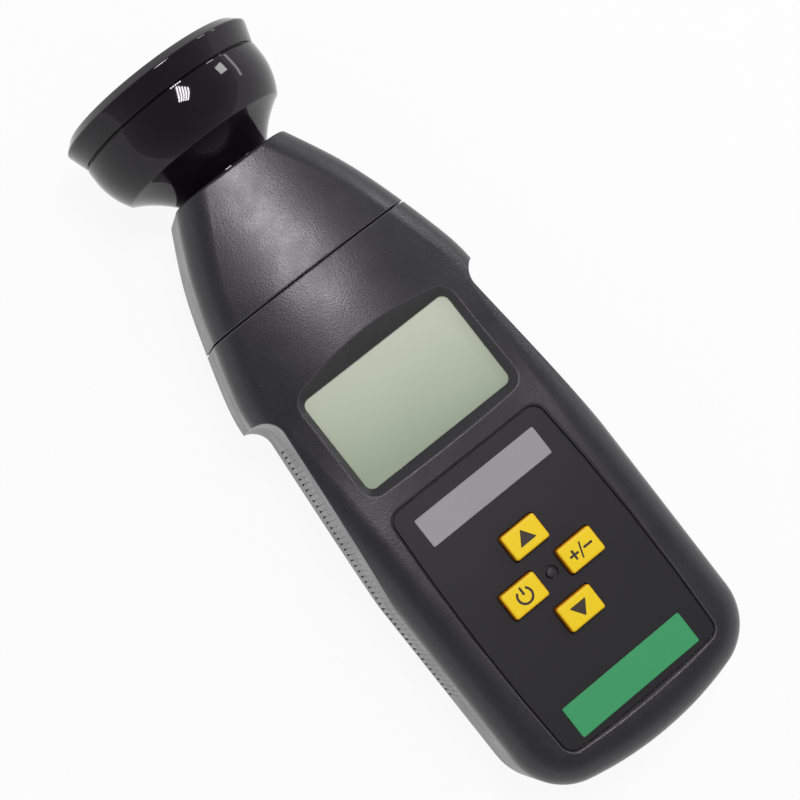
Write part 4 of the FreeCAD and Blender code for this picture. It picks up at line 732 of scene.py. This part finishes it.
def pin(name, low, radius, height, dome, body, slot):
    """An upright pin: rings of a radius, an eased rim and a shallow dome, closed at both ends.

    The profile runs from the axis at the foot to the axis at the top, and each of its points is
    carried round: (x + r cos a, y + r sin a, z).
    """
    foot = np.array([(PIN_CENTRE, 0), (radius, 0)])
    rim = corner((radius, 0), (radius, height), (0, height + dome), PIN_CUT)
    crest = np.linspace(rim[-1], (PIN_CENTRE, height + dome), 5)[1:]
    profile = np.concatenate([foot, rim, crest]) * MM
    angle = np.linspace(0, 2 * math.pi, PIN_STEPS, endpoint=False)
    points = np.stack([low.x + profile[:, :1] * np.cos(angle),
                       low.y + profile[:, :1] * np.sin(angle),
                       low.z + profile[:, 1:] + 0 * angle], axis=-1)
    faces = grid_faces(len(profile), PIN_STEPS, False, True).tolist()
    last = (len(profile) - 1) * PIN_STEPS
    faces += [list(range(PIN_STEPS))[::-1], list(range(last, last + PIN_STEPS))]
    return piece(name, points, faces, body, slot)


stud_foot = Vector(((STUD_LOW.x + STUD_HIGH.x) / 2, (STUD_LOW.y + STUD_HIGH.y) / 2, STUD_LOW.z))
stud = pin("domed_stud", stud_foot, STUD_RADIUS, (STUD_HIGH.z - STUD_LOW.z) / MM + STUD_RISE,
           STUD_DOME, "case", "stud_plastic")
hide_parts("centre_stud")

# %% [markdown]
# ## Marks on the keys
# The keys carry printed marks: a triangle up, a triangle down, a plus and minus, and the power
# sign. Ink is a film of a few hundredths of a millimetre, so each mark is a thin plate cut from an
# outline and laid on the key, which moves with it.

# %% Ink and outlines
finishes["ink"] = finish("screen_printed_ink", "#2a2012", "#3a2d18", 0.5, 0.002, (0.45, 0.55))
INK = 0.035


def mark(name, key, outlines):
    """Thin plates from closed outlines in mm about the key's middle, laid on the key's top.

    Half the ink's thickness goes into the key, so that no light shows under the plate. The slot
    is the key's, because ink is no material of the CAD model, and the ink's finish covers it.
    """
    low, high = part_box(key)
    middle = np.array([(low.x + high.x) / 2, (low.y + high.y) / 2])
    points, faces, count = [], [], 0
    for outline in outlines:
        shape = np.asarray(outline, float) * MM + middle
        n = len(shape)
        for level in (high.z - INK * MM / 2, high.z + INK * MM):
            points.append(np.column_stack([shape, np.full(n, level)]))
        ring_faces = grid_faces(2, n, False, True) + count
        faces += [range(count, count + n)[::-1], range(count + n, count + 2 * n)]
        faces += ring_faces.tolist()
        count += 2 * n
    made = piece(name, np.concatenate(points), faces, key, "key_rubber", smooth=30)
    made.data.materials[0] = finishes["ink"]
    return made


BAR_ROUND = 0.7


def bar(x, y, length, height):
    """A short bar with rounded ends about a point."""
    h, v = length / 2, height / 2
    return eased([(x - h, y - v), (x + h, y - v), (x + h, y + v), (x - h, y + v)],
                 BAR_ROUND * min(h, v), 5)


def sector(radius, width, gap, steps=40):
    """A ring of a radius and width, open at its top by a gap in degrees."""
    a = np.radians(np.linspace(90 + gap / 2, 450 - gap / 2, steps))
    circle = np.stack([np.cos(a), np.sin(a)], axis=-1)
    return np.concatenate([circle * (radius + width / 2), circle[::-1] * (radius - width / 2)])


# sizes of the marks in mm: a cross of arms and half a line's width, lines and a triangle
ARM, HALF, LINE, ASIDE = 1.35, 0.31, 0.62, 2.15
SLASH_WIDTH, SLASH_LENGTH = 0.45, 4.2
RING_RADIUS, RING_GAP, STROKE, STROKE_AT = 2.0, 75, 2.2, 1.35
CROSS = np.array([(ARM, -HALF), (ARM, HALF), (HALF, HALF), (HALF, ARM), (-HALF, ARM),
                  (-HALF, HALF), (-ARM, HALF), (-ARM, -HALF), (-HALF, -HALF), (-HALF, -ARM),
                  (HALF, -ARM), (HALF, -HALF)])
LEAN = math.radians(20)
SLANT = np.array([(math.cos(LEAN), -math.sin(LEAN)), (math.sin(LEAN), math.cos(LEAN))])
ARROW, ARROW_CUT = np.array([(-2.5, -1.5), (2.5, -1.5), (0.0, 2.2)]), 0.3
mark("up_mark", "up_key", [eased(ARROW, ARROW_CUT)])
mark("down_mark", "down_key", [eased(ARROW * (1, -1), ARROW_CUT)])
mark("power_mark", "power_key", [
    sector(RING_RADIUS, LINE, RING_GAP), bar(0, STROKE_AT, LINE, STROKE)])
mark("fine_adjust_mark", "fine_adjust_key", [
    CROSS + (-ASIDE, 0), bar(ASIDE, 0, 2 * ARM, LINE),
    bar(0, 0, SLASH_WIDTH, SLASH_LENGTH) @ SLANT])
